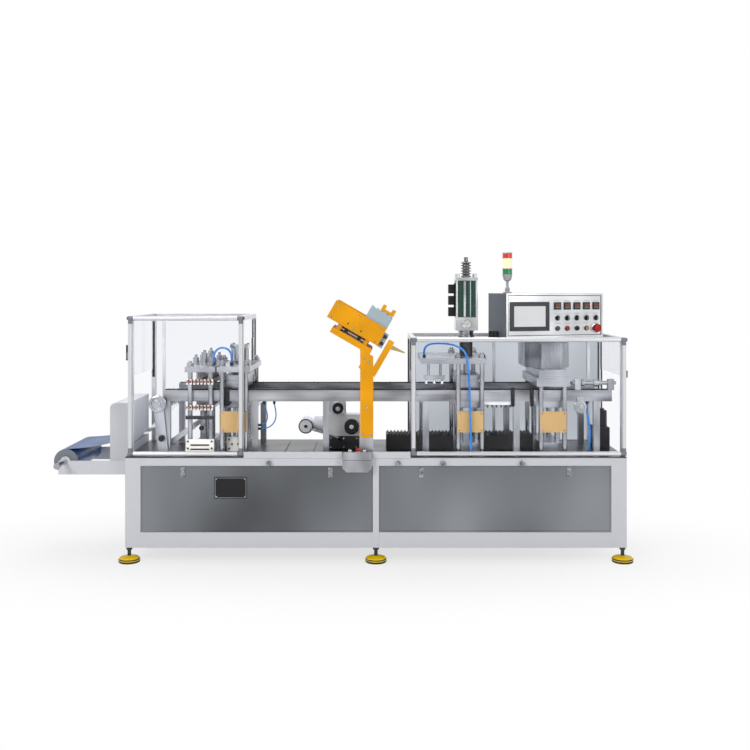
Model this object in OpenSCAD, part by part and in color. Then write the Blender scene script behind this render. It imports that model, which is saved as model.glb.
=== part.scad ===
// Blister packing machine: a welded base with a flat table, a film line on two side rails,
// heating, forming, sealing and cutting stations under two clear guard housings,
// a tilted card magazine between them, and a control box on the roof.
// X runs along the film, Y from the operator to the back, Z up from the floor.

/* [Base] */
// Length of the welded base
base_l = 3260; // [2900:10:3800]
// Depth of the base from front to back
base_d = 760; // [700:10:900]
// Height of the welded base without its feet and table plate
base_h = 582; // [480:1:700]
// Height of the levelling feet
foot_h = 100; // [70:1:140]
// Width of the end posts seen from the front
end_post_w = 100; // [60:1:140]
// Width of the middle post seen from the front
mid_post_w = 40; // [30:1:80]
// Depth of the frame tubes
frame_t = 60; // [40:1:80]
// Height of the upper frame rail
top_rail_h = 50; // [46:1:80]
// Height of the lower frame rail
low_rail_h = 100; // [60:1:140]
// Thickness of the table plate
table_t = 8; // [4:1:16]
// Thickness of the cladding panels
panel_t = 4; // [2:1:8]
// Diameter of a foot pad
pad_d = 136; // [90:1:160]
// Diameter of a foot stem
stem_d = 24; // [16:1:36]

/* [Guard housings] */
// Middle of the left housing along the line
left_x = -1240; // [-1260:5:-1200]
// Length of the left housing
left_l = 750; // [720:5:780]
// Height of the left housing above the table
left_h = 915; // [860:5:960]
// Middle of the right housing along the line
right_x = 930; // [900:5:935]
// Length of the right housing
right_l = 1400; // [1360:5:1410]
// Height of the right housing above the table
right_h = 775; // [760:5:800]
// Depth of the housings
hood_d = 700; // [680:2:716]
// Side of the square housing posts
hood_post = 30; // [20:1:40]
// Thickness of the clear sheets
pane_t = 5; // [3:1:8]
// Diameter of the front guard tubes
guard_tube = 28; // [20:1:34]
// Height of the film passage under the side sheets, above the table
pass_h = 520; // [480:5:560]
// Height of the open exit end of the left housing, above the table
exit_h = 745; // [740:5:800]

/* [Film line] */
// Height of the film above the table
line_h = 386; // [372:2:396]
// Distance between the middles of the side rails
rail_gap = 500; // [460:10:520]
// Width of a side rail
rail_w = 40; // [30:1:50]
// Thickness of the clear film web between the rails
film_t = 2; // [1:0.5:3]
// Length of a formed cup along the film
cup_l = 92; // [60:1:105]
// Width of a formed cup across the film
cup_w = 96; // [60:1:120]
// Depth of a formed cup
cup_d = 22; // [10:1:30]
// Step from cup to cup along the film
cup_step = 115; // [110:1:150]
// Distance from row to row of cups across the film
cup_lane = 140; // [130:1:150]
// Height of a side rail
rail_h = 74; // [64:1:80]
// Length of the side rails
rail_l = 2960; // [2900:10:3000]
// Diameter of the press columns
column_d = 32; // [24:1:40]
// Stroke of the two presses
press_stroke = 40; // [20:1:45]

/* [Stations] */
// Middle of the heating station
heat_x = -1155; // [-1165:5:-1150]
// Length of the heater plates along the film
heat_l = 200; // [180:5:210]
// Middle of the forming press
form_x = -935; // [-940:5:-930]
// Middle of the sealing press
seal_x = 620; // [610:5:640]
// Middle of the cutting press
cut_x = 1165; // [1150:5:1190]
// Length of a press plate along the film
press_l = 220; // [200:5:230]
// Height of a press crosshead above the table
press_h = 545; // [540:5:560]
// Height of the sealing crosshead above the table
seal_h = 600; // [595:5:610]
// Thickness of a crosshead
cross_t = 36; // [24:1:40]

/* [Sealing cylinder] */
// Width of the ribbed sealing cylinder
booster_w = 150; // [120:2:170]
// Height of the ribbed sealing cylinder
booster_h = 250; // [200:5:300]

/* [Card magazine] */
// Magazine column middle, from the left end of the right housing
mag_x = -290; // [-320:5:-270]
// Width of the magazine column
mag_w = 86; // [60:2:100]
// Height of the yellow column above its pedestal
mag_h = 550; // [480:5:580]
// Slope of the card tray
mag_slope = 30; // [20:1:40]
// Length of the card tray
mag_l = 380; // [320:5:420]

/* [Control box] */
// Width of the control box
box_w = 735; // [600:5:735]
// Depth of the control box
box_d = 285; // [240:5:285]
// Height of the control box
box_h = 300; // [240:5:340]
// Turn of the control box towards the operator
box_turn = 18; // [0:1:18]
// Diameter of the signal tower
tower_d = 70; // [50:1:80]

/* [Film unwinder] */
// Reach of the unwinder arms beyond the base
arm_l = 460; // [420:5:520]
// Height of the unwinder arms
arm_h = 90; // [70:1:110]
// Radius of the film roll
roll_r = 80; // [60:1:85]
// Length of the film roll
roll_l = 560; // [480:5:580]

/* [Hidden] */
$fn = 48;
// Running clearance of pins and rods
fit = 0.3;
// Room between moving and fixed pieces
clear = 6;
half_l = base_l / 2;
half_d = base_d / 2;
base_top = foot_h + base_h;
table_z = base_top + table_t;
panel_set = 6;
foot_in = 20;
foot_y = half_d - frame_t / 2;
pad_h = 44;
nut_h = 18;
latch_in = 275;
latch_w = 28;
latch_h = 64;
latch_t = 8;
knob_r = 17;
knob_l = 24;
knob_drop = 32;
knob_xs = [-695, 143, 435, 949];
hood_y = hood_d / 2;
guard_r = guard_tube / 2;
guard_y = -hood_y - clear - guard_r;
corner_l = 36;
pin_r = 5;
pin_l = 18;
lug_t = 5;
stay_w = 20;
line_z = table_z + line_h;
rail_x = 80;
rail_y = rail_gap / 2;
rail_groove = 12;
mag_at = right_x - right_l / 2 + mag_x;
rail_top = line_z + rail_h / 2;
rail_low = line_z - rail_h / 2;
column_y = rail_y + rail_w / 2 + column_d / 2 + clear + 2;
cross_z = table_z + press_h;
cross_y = column_y + column_d / 2 + 8;
tool_y = rail_y - rail_w / 2 - clear;
tool_l = press_l - column_d - 40;
film_room = 4;
rod_r = 20;
plate_t = 28;
mould_h = 60;
mould_z = line_z + film_room + press_stroke;
platen_z = mould_z + mould_h;
cross_top = cross_z + cross_t;
seal_z = table_z + seal_h;
seal_top = seal_z + cross_t;

// Sets a piece built around the middle of the base so that the floor under the middle of the
// whole machine, from the film roll to the last foot, is the origin
module centred() {
    low_x = shaft_x - roll_r;
    high_x = half_l - foot_in + pad_d / 2;
    low_y = -arm_y - arm_t - shaft_reach;
    high_y = foot_y + pad_d / 2;
    translate([-(low_x + high_x) / 2, -(low_y + high_y) / 2, 0])
        children();
}

// A box between two corners
module block(x, y, z) {
    translate([x[0], y[0], z[0]])
        cube([x[1] - x[0], y[1] - y[0], z[1] - z[0]]);
}

// A round bar of radius r and length l from a point, along X, Y or Z
module bar_x(p, r, l) {
    translate(p) rotate([0, 90, 0]) cylinder(r = r, h = l);
}

module bar_y(p, r, l) {
    translate(p) rotate([-90, 0, 0]) cylinder(r = r, h = l);
}

module bar_z(p, r, l) {
    translate(p) cylinder(r = r, h = l);
}

// The two open bays of the base, left and right of the middle post
bays = [[-half_l + end_post_w, -mid_post_w / 2], [mid_post_w / 2, half_l - end_post_w]];
// Both ends of each post along X
post_spans = [[-half_l, -half_l + end_post_w], [-mid_post_w / 2, mid_post_w / 2],
    [half_l - end_post_w, half_l]];
// Both sides of each frame tube along Y, front then back
tube_spans = [[-half_d, -half_d + frame_t], [half_d - frame_t, half_d]];
// Both faces of the upper and lower rails along Z
rail_spans = [[base_top - top_rail_h, base_top], [foot_h, foot_h + low_rail_h]];
bay_z = [foot_h + low_rail_h, base_top - top_rail_h];

module frame_posts() centred() {
    color("white")
        for (x = post_spans, y = tube_spans)
            block(x, y, [foot_h, base_top]);
}

// Long rails between the posts, and cross rails a weld's width narrower than the posts
weld = 1;
module frame_rails() centred() {
    color("white") {
        for (x = bays, y = tube_spans, z = rail_spans)
            block(x, y, z);
        for (x = post_spans, z = rail_spans)
            block([x[0] + weld, x[1] - weld], [-half_d + frame_t, half_d - frame_t], z);
    }
}

// Front and rear cladding, set back from the frame
module side_panels() centred() {
    color("silver")
        for (x = bays, y = [-half_d + panel_set, half_d - panel_set - panel_t])
            block(x, [y, y + panel_t], bay_z);
}

module end_panels() centred() {
    inner = half_l - panel_set - panel_t;
    color("white")
        for (side = [-1, 1])
            translate([side * (inner + panel_t / 2), 0, 0])
                block([-panel_t / 2, panel_t / 2], [-half_d + frame_t, half_d - frame_t], bay_z);
}

// Pull latches near the upper edge of each front panel
module panel_latches() {
    face = -half_d + panel_set;
    top = bay_z[1] - 10;
    for (bay = bays, x = [bay[0] + latch_in, bay[1] - latch_in])
        difference() {
            block([x - latch_w / 2, x + latch_w / 2], [face - latch_t, face], [top - latch_h, top]);
            block([x - latch_w / 4, x + latch_w / 4], [face - latch_t - 1, face - latch_t / 2],
                [top - latch_h * 0.45, top - 6]);
        }
}

// Turned lock knobs on the upper front rail
module rail_knobs() {
    for (x = knob_xs)
        translate([x, -half_d, base_top - knob_drop])
            rotate([90, 0, 0])
                rotate_extrude()
                    polygon([[0, 0], [9, 0], [9, knob_l * 0.4], [knob_r, knob_l * 0.5],
                        [knob_r, knob_l * 0.9], [knob_r * 0.8, knob_l], [0, knob_l]]);
}

module panel_hardware() centred() {
    color("gainsboro") {
        panel_latches();
        rail_knobs();
    }
}

module table_plate() centred() {
    color("silver")
        block([-half_l, half_l], [-half_d, half_d], [base_top, table_z]);
}

foot_xs = [-half_l + foot_in, 0, half_l - foot_in];

// Threaded stems with a hexagon nut under the frame
module foot_stems() centred() {
    color("dimgray")
        for (x = foot_xs, y = [-foot_y, foot_y]) {
            bar_z([x, y, pad_h], stem_d / 2, foot_h - pad_h);
            translate([x, y, foot_h - nut_h])
                cylinder(d = stem_d * 1.7, h = nut_h, $fn = 6);
        }
}

// Domed foot pads
module foot_pads() centred() {
    color("gold")
        for (x = foot_xs, y = [-foot_y, foot_y])
            translate([x, y, 0])
                rotate_extrude()
                    polygon([[0, 0], [pad_d / 2 - 4, 0], [pad_d / 2, 6], [pad_d / 2, 24],
                        [pad_d / 2 - 8, 34], [stem_d * 0.9, pad_h], [0, pad_h]]);
}

// Corner posts of a housing, with slim stays in front of its back sheet
module posts(mid, l, h, stays) {
    color("silver") {
        for (x = [mid - l / 2, mid + l / 2 - hood_post], y = [-hood_y, hood_y - hood_post])
            block([x, x + hood_post], [y, y + hood_post], [table_z, table_z + h]);
        stay_y = hood_y - hood_post / 2 - pane_t / 2 - stay_w;
        for (x = stays)
            block([mid + x - stay_w / 2, mid + x + stay_w / 2], [stay_y, stay_y + stay_w],
                [table_z, table_z + h - hood_post]);
    }
}

// Roof beams of a housing
module beams(mid, l, h) {
    z = [table_z + h - hood_post, table_z + h];
    inner_x = [mid - l / 2 + hood_post, mid + l / 2 - hood_post];
    color("silver") {
        for (y = [-hood_y, hood_y - hood_post])
            block(inner_x, [y, y + hood_post], z);
        for (x = [mid - l / 2, mid + l / 2 - hood_post])
            block([x, x + hood_post], [-hood_y + hood_post + fit, hood_y - hood_post - fit], z);
    }
}

// Clear back sheet, and side sheets that stop above the film passage
module panes(mid, l, h, exit) {
    z_top = table_z + h - hood_post;
    mid_y = hood_y - hood_post / 2;
    color("lightcyan", 0.4) {
        block([mid - l / 2 + hood_post, mid + l / 2 - hood_post],
            [mid_y - pane_t / 2, mid_y + pane_t / 2], [table_z, z_top]);
        for (e = [[mid - l / 2 + hood_post / 2, pass_h], [mid + l / 2 - hood_post / 2, exit]])
            block([e[0] - pane_t / 2, e[0] + pane_t / 2],
                [-hood_y + hood_post, hood_y - hood_post], [table_z + e[1], z_top]);
    }
}

// Clear roof sheet between the beams
module roof_sheet(mid, l, h) {
    z = table_z + h - hood_post / 2;
    color("lightcyan", 0.4)
        block([mid - l / 2 + hood_post, mid + l / 2 - hood_post],
            [-hood_y + hood_post, hood_y - hood_post], [z - pane_t / 2, z + pane_t / 2]);
}

// Upper and lower tube axes of a front guard
function guard_top(h) = table_z + h - guard_r;
guard_low = table_z + clear + guard_r;
// Half width of a front guard, inside its hinge lugs
function guard_half(l) = l / 2 - 1;

module guard_tubes(mid, l, h) {
    half = guard_half(l);
    color("gainsboro") {
        for (z = [guard_low, guard_top(h)])
            bar_x([mid - half + corner_l, guard_y, z], guard_r, 2 * half - 2 * corner_l);
        for (side = [-1, 1])
            bar_z([mid + side * (half - guard_r), guard_y, guard_low + corner_l], guard_r,
                guard_top(h) - guard_low - 2 * corner_l);
    }
}

// Moulded elbows that join the guard tubes; the upper two hold the hinge pins
module guard_corners(mid, l, h) {
    half = guard_half(l);
    color("slategray")
        for (side = [-1, 1], top = [0, 1])
            translate([mid + side * half, guard_y, top ? guard_top(h) : guard_low])
                difference() {
                    union() {
                        bar_x([side > 0 ? -corner_l : 0, 0, 0], guard_r, corner_l);
                        bar_z([-side * guard_r, 0, top ? -corner_l : 0], guard_r, corner_l);
                    }
                    if (top)
                        bar_x([side > 0 ? -pin_l - 2 : -1, 0, 0], pin_r + fit, pin_l + 3);
                }
}

module guard_pane(mid, l, h) {
    half = guard_half(l) - guard_tube - fit;
    color("lightcyan", 0.4)
        block([mid - half, mid + half], [guard_y - pane_t / 2, guard_y + pane_t / 2],
            [guard_low + guard_r + fit, guard_top(h) - guard_r - fit]);
}

// Hinge lugs on the housing posts, each with a pin for the front guard
module hinge_lugs(mid, l, h) {
    color("dimgray")
        for (side = [-1, 1]) {
            face = side > 0 ? mid + l / 2 : mid - l / 2 - lug_t;
            block([face, face + lug_t], [guard_y, -hood_y + hood_post],
                [guard_top(h) - 10, guard_top(h) + 10]);
            bar_x([face, guard_y, guard_top(h)], 10, lug_t);
            bar_x([side > 0 ? face - pin_l : face + lug_t, guard_y, guard_top(h)], pin_r, pin_l);
        }
}

left_stays = [-285];
right_stays = [-80, 600];

module housing_posts() centred() {
    posts(left_x, left_l, left_h, left_stays);
    posts(right_x, right_l, right_h, right_stays);
}

module housing_beams() centred() {
    beams(left_x, left_l, left_h);
    beams(right_x, right_l, right_h);
}

// Film stretch in the open between the housings, with three rows of formed cups
film_start = left_x + left_l / 2 + 80;
film_stop = right_x - right_l / 2 - 35;
module film_stretch() {
    inner = rail_y - rail_w / 2 + rail_groove;
    block([film_start, film_stop], [-inner, inner], [line_z - film_t / 2, line_z + film_t / 2]);
    for (x = [film_start + cup_l / 2 : cup_step : film_stop - cup_l / 2], y = [-1, 0, 1])
        block([x - cup_l / 2, x + cup_l / 2], [y * cup_lane - cup_w / 2, y * cup_lane + cup_w / 2],
            [line_z - cup_d, line_z]);
}

// The right roof sheet is cut round the neck of the sealing cylinder, and the film is clear sheet too
module housing_panes() centred() {
    film_stretch();
    panes(left_x, left_l, left_h, exit_h);
    panes(right_x, right_l, right_h, pass_h);
    roof_sheet(left_x, left_l, left_h);
    difference() {
        roof_sheet(right_x, right_l, right_h);
        bar_z([seal_x, 0, table_z + right_h - hood_post], neck_r + clear, hood_post);
    }
}

module left_guard_tubes() centred() { guard_tubes(left_x, left_l, left_h); }
module left_guard_corners() centred() { guard_corners(left_x, left_l, left_h); }
module left_guard_pane() centred() { guard_pane(left_x, left_l, left_h); }
module right_guard_tubes() centred() { guard_tubes(right_x, right_l, right_h); }
module right_guard_corners() centred() { guard_corners(right_x, right_l, right_h); }
module right_guard_pane() centred() { guard_pane(right_x, right_l, right_h); }

module guard_hinges() centred() {
    hinge_lugs(left_x, left_l, left_h);
    hinge_lugs(right_x, right_l, right_h);
}

// Side rails that carry the film, grooved on the inner side for the gripper chain
module film_rails() centred() {
    color("silver")
        for (side = [-1, 1])
            difference() {
                block([rail_x - rail_l / 2, rail_x + rail_l / 2],
                    [side * rail_y - rail_w / 2, side * rail_y + rail_w / 2], [rail_low, rail_top]);
                block([rail_x - rail_l / 2 - 1, rail_x + rail_l / 2 + 1],
                    [side * (rail_y - rail_w / 2) - rail_groove, side * (rail_y - rail_w / 2) + rail_groove],
                    [line_z - 5, line_z + 7]);
            }
}

// Uprights between the table and the side rails
upright_xs = [rail_x - rail_l / 2 + 20, -800, -330, 330, 930, 1460];
module uprights() centred() {
    color("silver") {
        for (x = upright_xs, side = [-1, 1])
            block([x - 20, x + 20], [side * rail_y - rail_w / 2, side * rail_y + rail_w / 2],
                [table_z, rail_low]);
        block([mag_at - mag_w / 2, mag_at + mag_w / 2], [mag_front, mag_front + mag_d],
            [table_z, mag_low]);
        foot_box();
    }
}

// Folded sheet box that hangs on the front rail below the magazine
foot_box_w = 190;
foot_box_h = 76;
foot_box_t = 46;
module foot_box() {
    half = foot_box_w / 2;
    translate([mag_at - half / 2 - 14, -half_d, base_top - foot_box_h - 8])
        rotate([90, 0, 0])
            linear_extrude(foot_box_t)
                polygon([[-half, foot_box_h], [half, foot_box_h], [half, 26], [half - 26, 0],
                    [26 - half, 0], [-half, 26]]);
}

// Round columns of one station, from the table to the underside of its head
module columns(mid, l, h) {
    color("gainsboro")
        for (x = [mid - l / 2 + column_d, mid + l / 2 - column_d], y = [-column_y, column_y])
            bar_z([x, y, table_z], column_d / 2, h);
}

// Crosshead plate on the columns, bored for the press rod; the sealing one reaches back over
// the card feeder
module crosshead(mid, l, bore_r, low, reach) {
    color("silver")
        difference() {
            block([mid - l / 2 - reach, mid + l / 2], [-cross_y, cross_y], [low, low + cross_t]);
            if (bore_r > 0)
                bar_z([mid, 0, low - 1], bore_r, cross_t + 2);
        }
}

// Lower tool on its four legs and base plate
leg_r = 18;
base_plate_t = 70;
lower_tool_h = 80;
module lower_tool(mid) {
    top = line_z - film_room;
    color("silver") {
        block([mid - tool_l / 2, mid + tool_l / 2], [-tool_y, tool_y],
            [table_z, table_z + base_plate_t]);
        for (x = [-1, 1], y = [-1, 1])
            bar_z([mid + x * (tool_l / 2 - leg_r - 4), y * (tool_y - 60), table_z + base_plate_t],
                leg_r, top - lower_tool_h - table_z - base_plate_t);
        block([mid - tool_l / 2, mid + tool_l / 2], [-tool_y, tool_y],
            [top - lower_tool_h, top]);
    }
}

// Moving tool plate with its mould below it
module press_platen(mid) {
    color("silver") {
        block([mid - tool_l / 2, mid + tool_l / 2], [-tool_y, tool_y],
            [platen_z, platen_z + plate_t]);
        block([mid - tool_l / 2 + 8, mid + tool_l / 2 - 8], [-tool_y + 20, tool_y - 20],
            [mould_z, platen_z]);
    }
}

// Moving press tool: the plate and mould, with the rod that runs up through the crosshead
rod_in = press_stroke + 40;
module press_tool(mid, top) {
    press_platen(mid);
    color("whitesmoke")
        bar_z([mid, 0, platen_z + plate_t], rod_r, top + rod_in - platen_z - plate_t);
}

// Left end of the sealing crosshead, inside the right housing
feeder_x = right_x - right_l / 2 + hood_post + 40;
module press_columns() centred() {
    columns(heat_x, heat_l, press_h);
    columns(form_x, press_l, press_h);
    columns(seal_x, press_l, seal_h);
    columns(cut_x, press_l, cut_head_z - table_z);
}

module crossheads() centred() {
    crosshead(heat_x, heat_l, 0, cross_z, 0);
    crosshead(form_x, press_l, rod_r + fit, cross_z, 0);
    crosshead(seal_x, press_l, rod_r + fit, seal_z, seal_x - press_l / 2 - feeder_x);
    cut_head();
}

module lower_tools() centred() {
    heater_carrier();
    for (x = [form_x, seal_x, cut_x])
        lower_tool(x);
}

module form_platen() centred() { press_tool(form_x, cross_top); }
module seal_platen() centred() { press_tool(seal_x, seal_top); }

// Heater plates above and below the film
heater_t = 32;
heater_l = heat_l - 2 * column_d - 20;
heater_gap = 30;
heater_z = line_z + rail_h / 2 + heater_gap;
heater_low = line_z - film_room - heater_t;
module heater_plates() centred() {
    color("dimgray")
        for (z = [heater_low, heater_z])
            block([heat_x - heater_l / 2, heat_x + heater_l / 2], [-tool_y, tool_y], [z, z + heater_t]);
}

// Ceramic standoffs in rows, from the heaters to the crosshead and to the lower carrier
standoff_n = 6;
standoff_r = 9;
module heater_standoffs() centred() {
    step = (2 * tool_y - 80) / (standoff_n - 1);
    color("white")
        for (x = [-1, 1], i = [0 : standoff_n - 1], low = [0, 1])
            translate([heat_x + x * heater_l / 3, -tool_y + 40 + i * step, 0])
                if (low)
                    bar_z([0, 0, heater_low - 45], standoff_r, 45);
                else
                    bar_z([0, 0, heater_z + heater_t], standoff_r, cross_z - heater_z - heater_t);
}

// Lower heater carrier: a plate on two posts and a base block
module heater_carrier() {
    top = heater_low - 45;
    color("silver") {
        block([heat_x - heater_l / 2, heat_x + heater_l / 2], [-tool_y, tool_y], [top - 20, top]);
        for (y = [-1, 1])
            bar_z([heat_x, y * (tool_y - 70), table_z + base_plate_t], 26,
                top - 20 - table_z - base_plate_t);
        block([heat_x - heater_l / 2, heat_x + heater_l / 2], [-tool_y, tool_y],
            [table_z, table_z + base_plate_t]);
    }
}

// Short air cylinders and a lifting eye on the heating crosshead
tall_cyl = 80;
short_cyl = 50;
heat_cyl_r = 20;
heat_cyl_y = 130;
module heat_cylinders() centred() {
    color("gainsboro")
        for (x = [-1, 0, 1], y = [-1, 1]) {
            barrel = x == 0 ? tall_cyl : short_cyl;
            translate([heat_x + x * heat_l / 3.4, y * heat_cyl_y, cross_top])
                rotate_extrude()
                    polygon([[0, 0], [heat_cyl_r + 4, 0], [heat_cyl_r + 4, 10], [heat_cyl_r, 10],
                        [heat_cyl_r, barrel], [heat_cyl_r / 2, barrel],
                        [heat_cyl_r / 2, barrel + heat_cyl_r], [0, barrel + heat_cyl_r]]);
        }
}

// Air cylinder on the forming crosshead, bored for the rod
form_cyl_w = 120;
form_cyl_h = 130;
module form_cylinder() centred() {
    color("gainsboro")
        difference() {
            union() {
                block([form_x - form_cyl_w / 2, form_x + form_cyl_w / 2],
                    [-form_cyl_w / 2, form_cyl_w / 2], [cross_top, cross_top + 24]);
                bar_z([form_x, 0, cross_top + 24], form_cyl_w * 0.44, form_cyl_h - 48);
                block([form_x - form_cyl_w / 2, form_x + form_cyl_w / 2],
                    [-form_cyl_w / 2, form_cyl_w / 2],
                    [cross_top + form_cyl_h - 24, cross_top + form_cyl_h]);
            }
            bar_z([form_x, 0, cross_top - 1], rod_r + fit, rod_in + 5);
        }
}

// Sealing cylinder: a neck through the roof, a gauge block, the ribbed body and its end plate
neck_r = 45;
gauge_h = 90;
booster_z = table_z + right_h + 34;
module seal_neck() centred() {
    color("dimgray")
        difference() {
            bar_z([seal_x, 0, seal_top], neck_r, booster_z - seal_top);
            bar_z([seal_x, 0, seal_top - 1], rod_r + fit, rod_in + 5);
        }
}

// Ribbed body: a square section with grooves on all four faces
module seal_booster() centred() {
    rib = booster_w / 10;
    color("seagreen")
        translate([seal_x, 0, booster_z + gauge_h])
            linear_extrude(booster_h)
                difference() {
                    square(booster_w - 2 * rib, center = true);
                    for (turn = [0 : 90 : 270], i = [-1, 0, 1])
                        rotate(turn)
                            translate([i * rib * 2.4, booster_w / 2 - rib])
                                square([rib, rib], center = true);
                }
}

// Gauge block, end plate and tie rods around the ribbed body
module seal_tie_frame() centred() {
    plate = 22;
    low = booster_z + gauge_h;
    inset = booster_w / 20;
    color("gainsboro") {
        block([seal_x - booster_w / 2, seal_x + booster_w / 2], [-booster_w / 2, booster_w / 2],
            [booster_z, low]);
        bar_y([seal_x, -booster_w / 2 - 20, booster_z + gauge_h / 2], 30, 21);
        block([seal_x - booster_w / 2, seal_x + booster_w / 2], [-booster_w / 2, booster_w / 2],
            [low + booster_h, low + booster_h + plate]);
        for (x = [-1, 1], y = [-1, 1]) {
            bar_z([seal_x + x * (booster_w / 2 - inset), y * (booster_w / 2 - inset), low],
                inset - 0.5, booster_h);
            bar_z([seal_x + x * (booster_w / 2 - 16), y * (booster_w / 2 - 16),
                low + booster_h + plate], 11, 26);
        }
    }
}

// Spring and adjusting stack on the cylinder
stack_n = 6;
stack_h = 130;
module seal_stack() centred() {
    low = booster_z + gauge_h + booster_h + 22;
    pitch = stack_h / (stack_n + 1);
    color("darkslategray")
        translate([seal_x, 0, low])
            rotate_extrude()
                polygon(concat([[0, 0]],
                    [for (i = [0 : stack_n - 1], e = [[22, 0], [36, 0.3], [36, 0.55], [22, 0.85]])
                        [e[0], (i + e[1]) * pitch]],
                    [[14, stack_n * pitch], [14, stack_h + 10], [0, stack_h + 10]]));
}

// Black valve blocks stacked on a strip beside the ribbed body
module seal_valves() centred() {
    low = booster_z + gauge_h + 6;
    rib = booster_w / 10;
    side = seal_x - booster_w / 2 + rib;
    color("black") {
        block([side - 24, side], [-20, 20], [low, low + booster_h - 24]);
        for (i = [0 : 2])
            block([side - 62, side - 24], [-28, 28], [low + i * 78, low + i * 78 + 62]);
    }
}

// Cutting press: a closed head on its columns and a folded sheet cover
cut_head_z = rail_top + 28;
cut_head_h = 110;
module cut_head() {
    color("silver") {
        block([cut_x - press_l / 2, cut_x + press_l / 2], [-cross_y, cross_y],
            [cut_head_z, cut_head_z + cut_head_h * 0.5]);
        block([cut_x - press_l / 2 + 20, cut_x + press_l / 2 - 20], [-cross_y + 20, cross_y - 20],
            [cut_head_z + cut_head_h * 0.5, cut_head_z + cut_head_h]);
    }
}

cut_cover_h = 170;
module cut_cover() centred() {
    wide = press_l + 80;
    narrow = press_l * 0.62;
    color("lightgray")
        translate([cut_x, 0, cut_head_z + cut_head_h])
            linear_extrude(cut_cover_h)
                polygon([[-narrow / 2, -cross_y + 60], [narrow / 2, -cross_y + 60], [wide / 2, -60],
                    [wide / 2, cross_y - 60], [-wide / 2, cross_y - 60], [-wide / 2, -60]]);
}

// Plain cream plates on the front columns of the three presses
sign_t = 5;
sign_h = 138;
sign_drop = 236;
module station_plates() centred() {
    front = -column_y - column_d / 2;
    color("burlywood")
        for (x = [form_x, seal_x, cut_x])
            block([x - press_l / 2 + 24, x + press_l / 2 - 24], [front - sign_t, front],
                [line_z - sign_drop, line_z - sign_drop + sign_h]);
}

// Card magazine: a yellow column in front of the line with a sloping tray that reaches over it
mag_front = -345;
mag_d = 60;
mag_low = table_z + 122;
mag_top = mag_low + mag_h;
mag_wide = 405;
board_t = 40;
board_up = 280;
tray_z = 82;
tray_side = 122;
tray_end = 35;
sheet_t = 6;
card_up = 84;
bar_in = 84;
bar_w = 38;
bar_drop = 110;
bar_rise = 150;
chute_z = 122;
chute_gap = 44;

// Places children in the sloping frame whose origin is the middle of the column's top
module on_slope() {
    translate([mag_at, mag_front, mag_top])
        rotate([0, mag_slope, 0])
            children();
}

// The column's sloping top and the bar that rises square to the tray
module mag_column() centred() {
    rise = tan(mag_slope) * mag_w / 2;
    color("orange")
        union() {
            translate([mag_at, mag_front + mag_d, mag_low])
                rotate([90, 0, 0])
                    linear_extrude(mag_d)
                        polygon([[-mag_w / 2, 0], [mag_w / 2, 0], [mag_w / 2, mag_h - rise],
                            [-mag_w / 2, mag_h + rise]]);
            on_slope()
                block([bar_in, bar_in + bar_w], [0, mag_d], [-bar_drop, bar_rise]);
            on_slope()
                block([0, bar_in + bar_w / 2], [0, mag_d], [-bar_drop, -bar_drop + bar_w]);
        }
}

// Sloping base board, its two spacers and the floor of the tray
module mag_board() centred() {
    color("orange")
        on_slope() {
            block([-board_up, 20], [0, mag_wide], [0, board_t]);
            for (x = [-board_up + 40, -40])
                block([x - 12, x + 12], [20, mag_wide - 20], [board_t, tray_z - sheet_t]);
            block([tray_end - mag_l, tray_end], [0, mag_wide], [tray_z - sheet_t, tray_z]);
        }
}

// Side sheets of the tray
module mag_sides() centred() {
    color("orange")
        on_slope()
            for (y = [0, mag_wide - sheet_t])
                block([tray_end - mag_l, tray_end], [y, y + sheet_t], [tray_z, tray_z + tray_side]);
}

// Stack of cards with stepped edges, standing on the tray floor
card_n = 8;
module mag_cards() centred() {
    step = 20;
    color("lightsteelblue")
        on_slope()
            translate([tray_end - card_n * step, mag_wide - sheet_t - 6, tray_z])
                rotate([90, 0, 0])
                    linear_extrude(mag_wide - 2 * sheet_t - 12)
                        polygon(concat([[0, 0]],
                            [for (i = [0 : card_n - 1], e = [0, 1])
                                [(i + e) * step, tray_side + card_up - 6 * (i % 2)]],
                            [[card_n * step, 0]]));
}

// Card clamp on the stack, and the polished chute that hands cards to the line
module mag_clamp() centred() {
    color("orange")
        on_slope()
            difference() {
                block([-60, tray_end], [mag_wide * 0.3, mag_wide * 0.7],
                    [tray_z + tray_side + card_up, tray_z + tray_side + card_up + 44]);
                block([-36, 12], [mag_wide * 0.3 - 1, mag_wide * 0.7 + 1],
                    [tray_z + tray_side + card_up + 18, tray_z + tray_side + card_up + 45]);
            }
}

// The chute stops short of the right housing
chute_end = (-chute_gap - mag_x - chute_z * sin(mag_slope)) / cos(mag_slope);
module mag_chute() centred() {
    color("tan")
        on_slope()
            translate([0, mag_d, 0])
                rotate([90, 0, 0])
                    linear_extrude(mag_d)
                        polygon([[bar_in + bar_w, chute_z - 24], [chute_end, chute_z],
                            [chute_end, chute_z + sheet_t], [bar_in + bar_w, chute_z + sheet_t]]);
}

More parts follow.
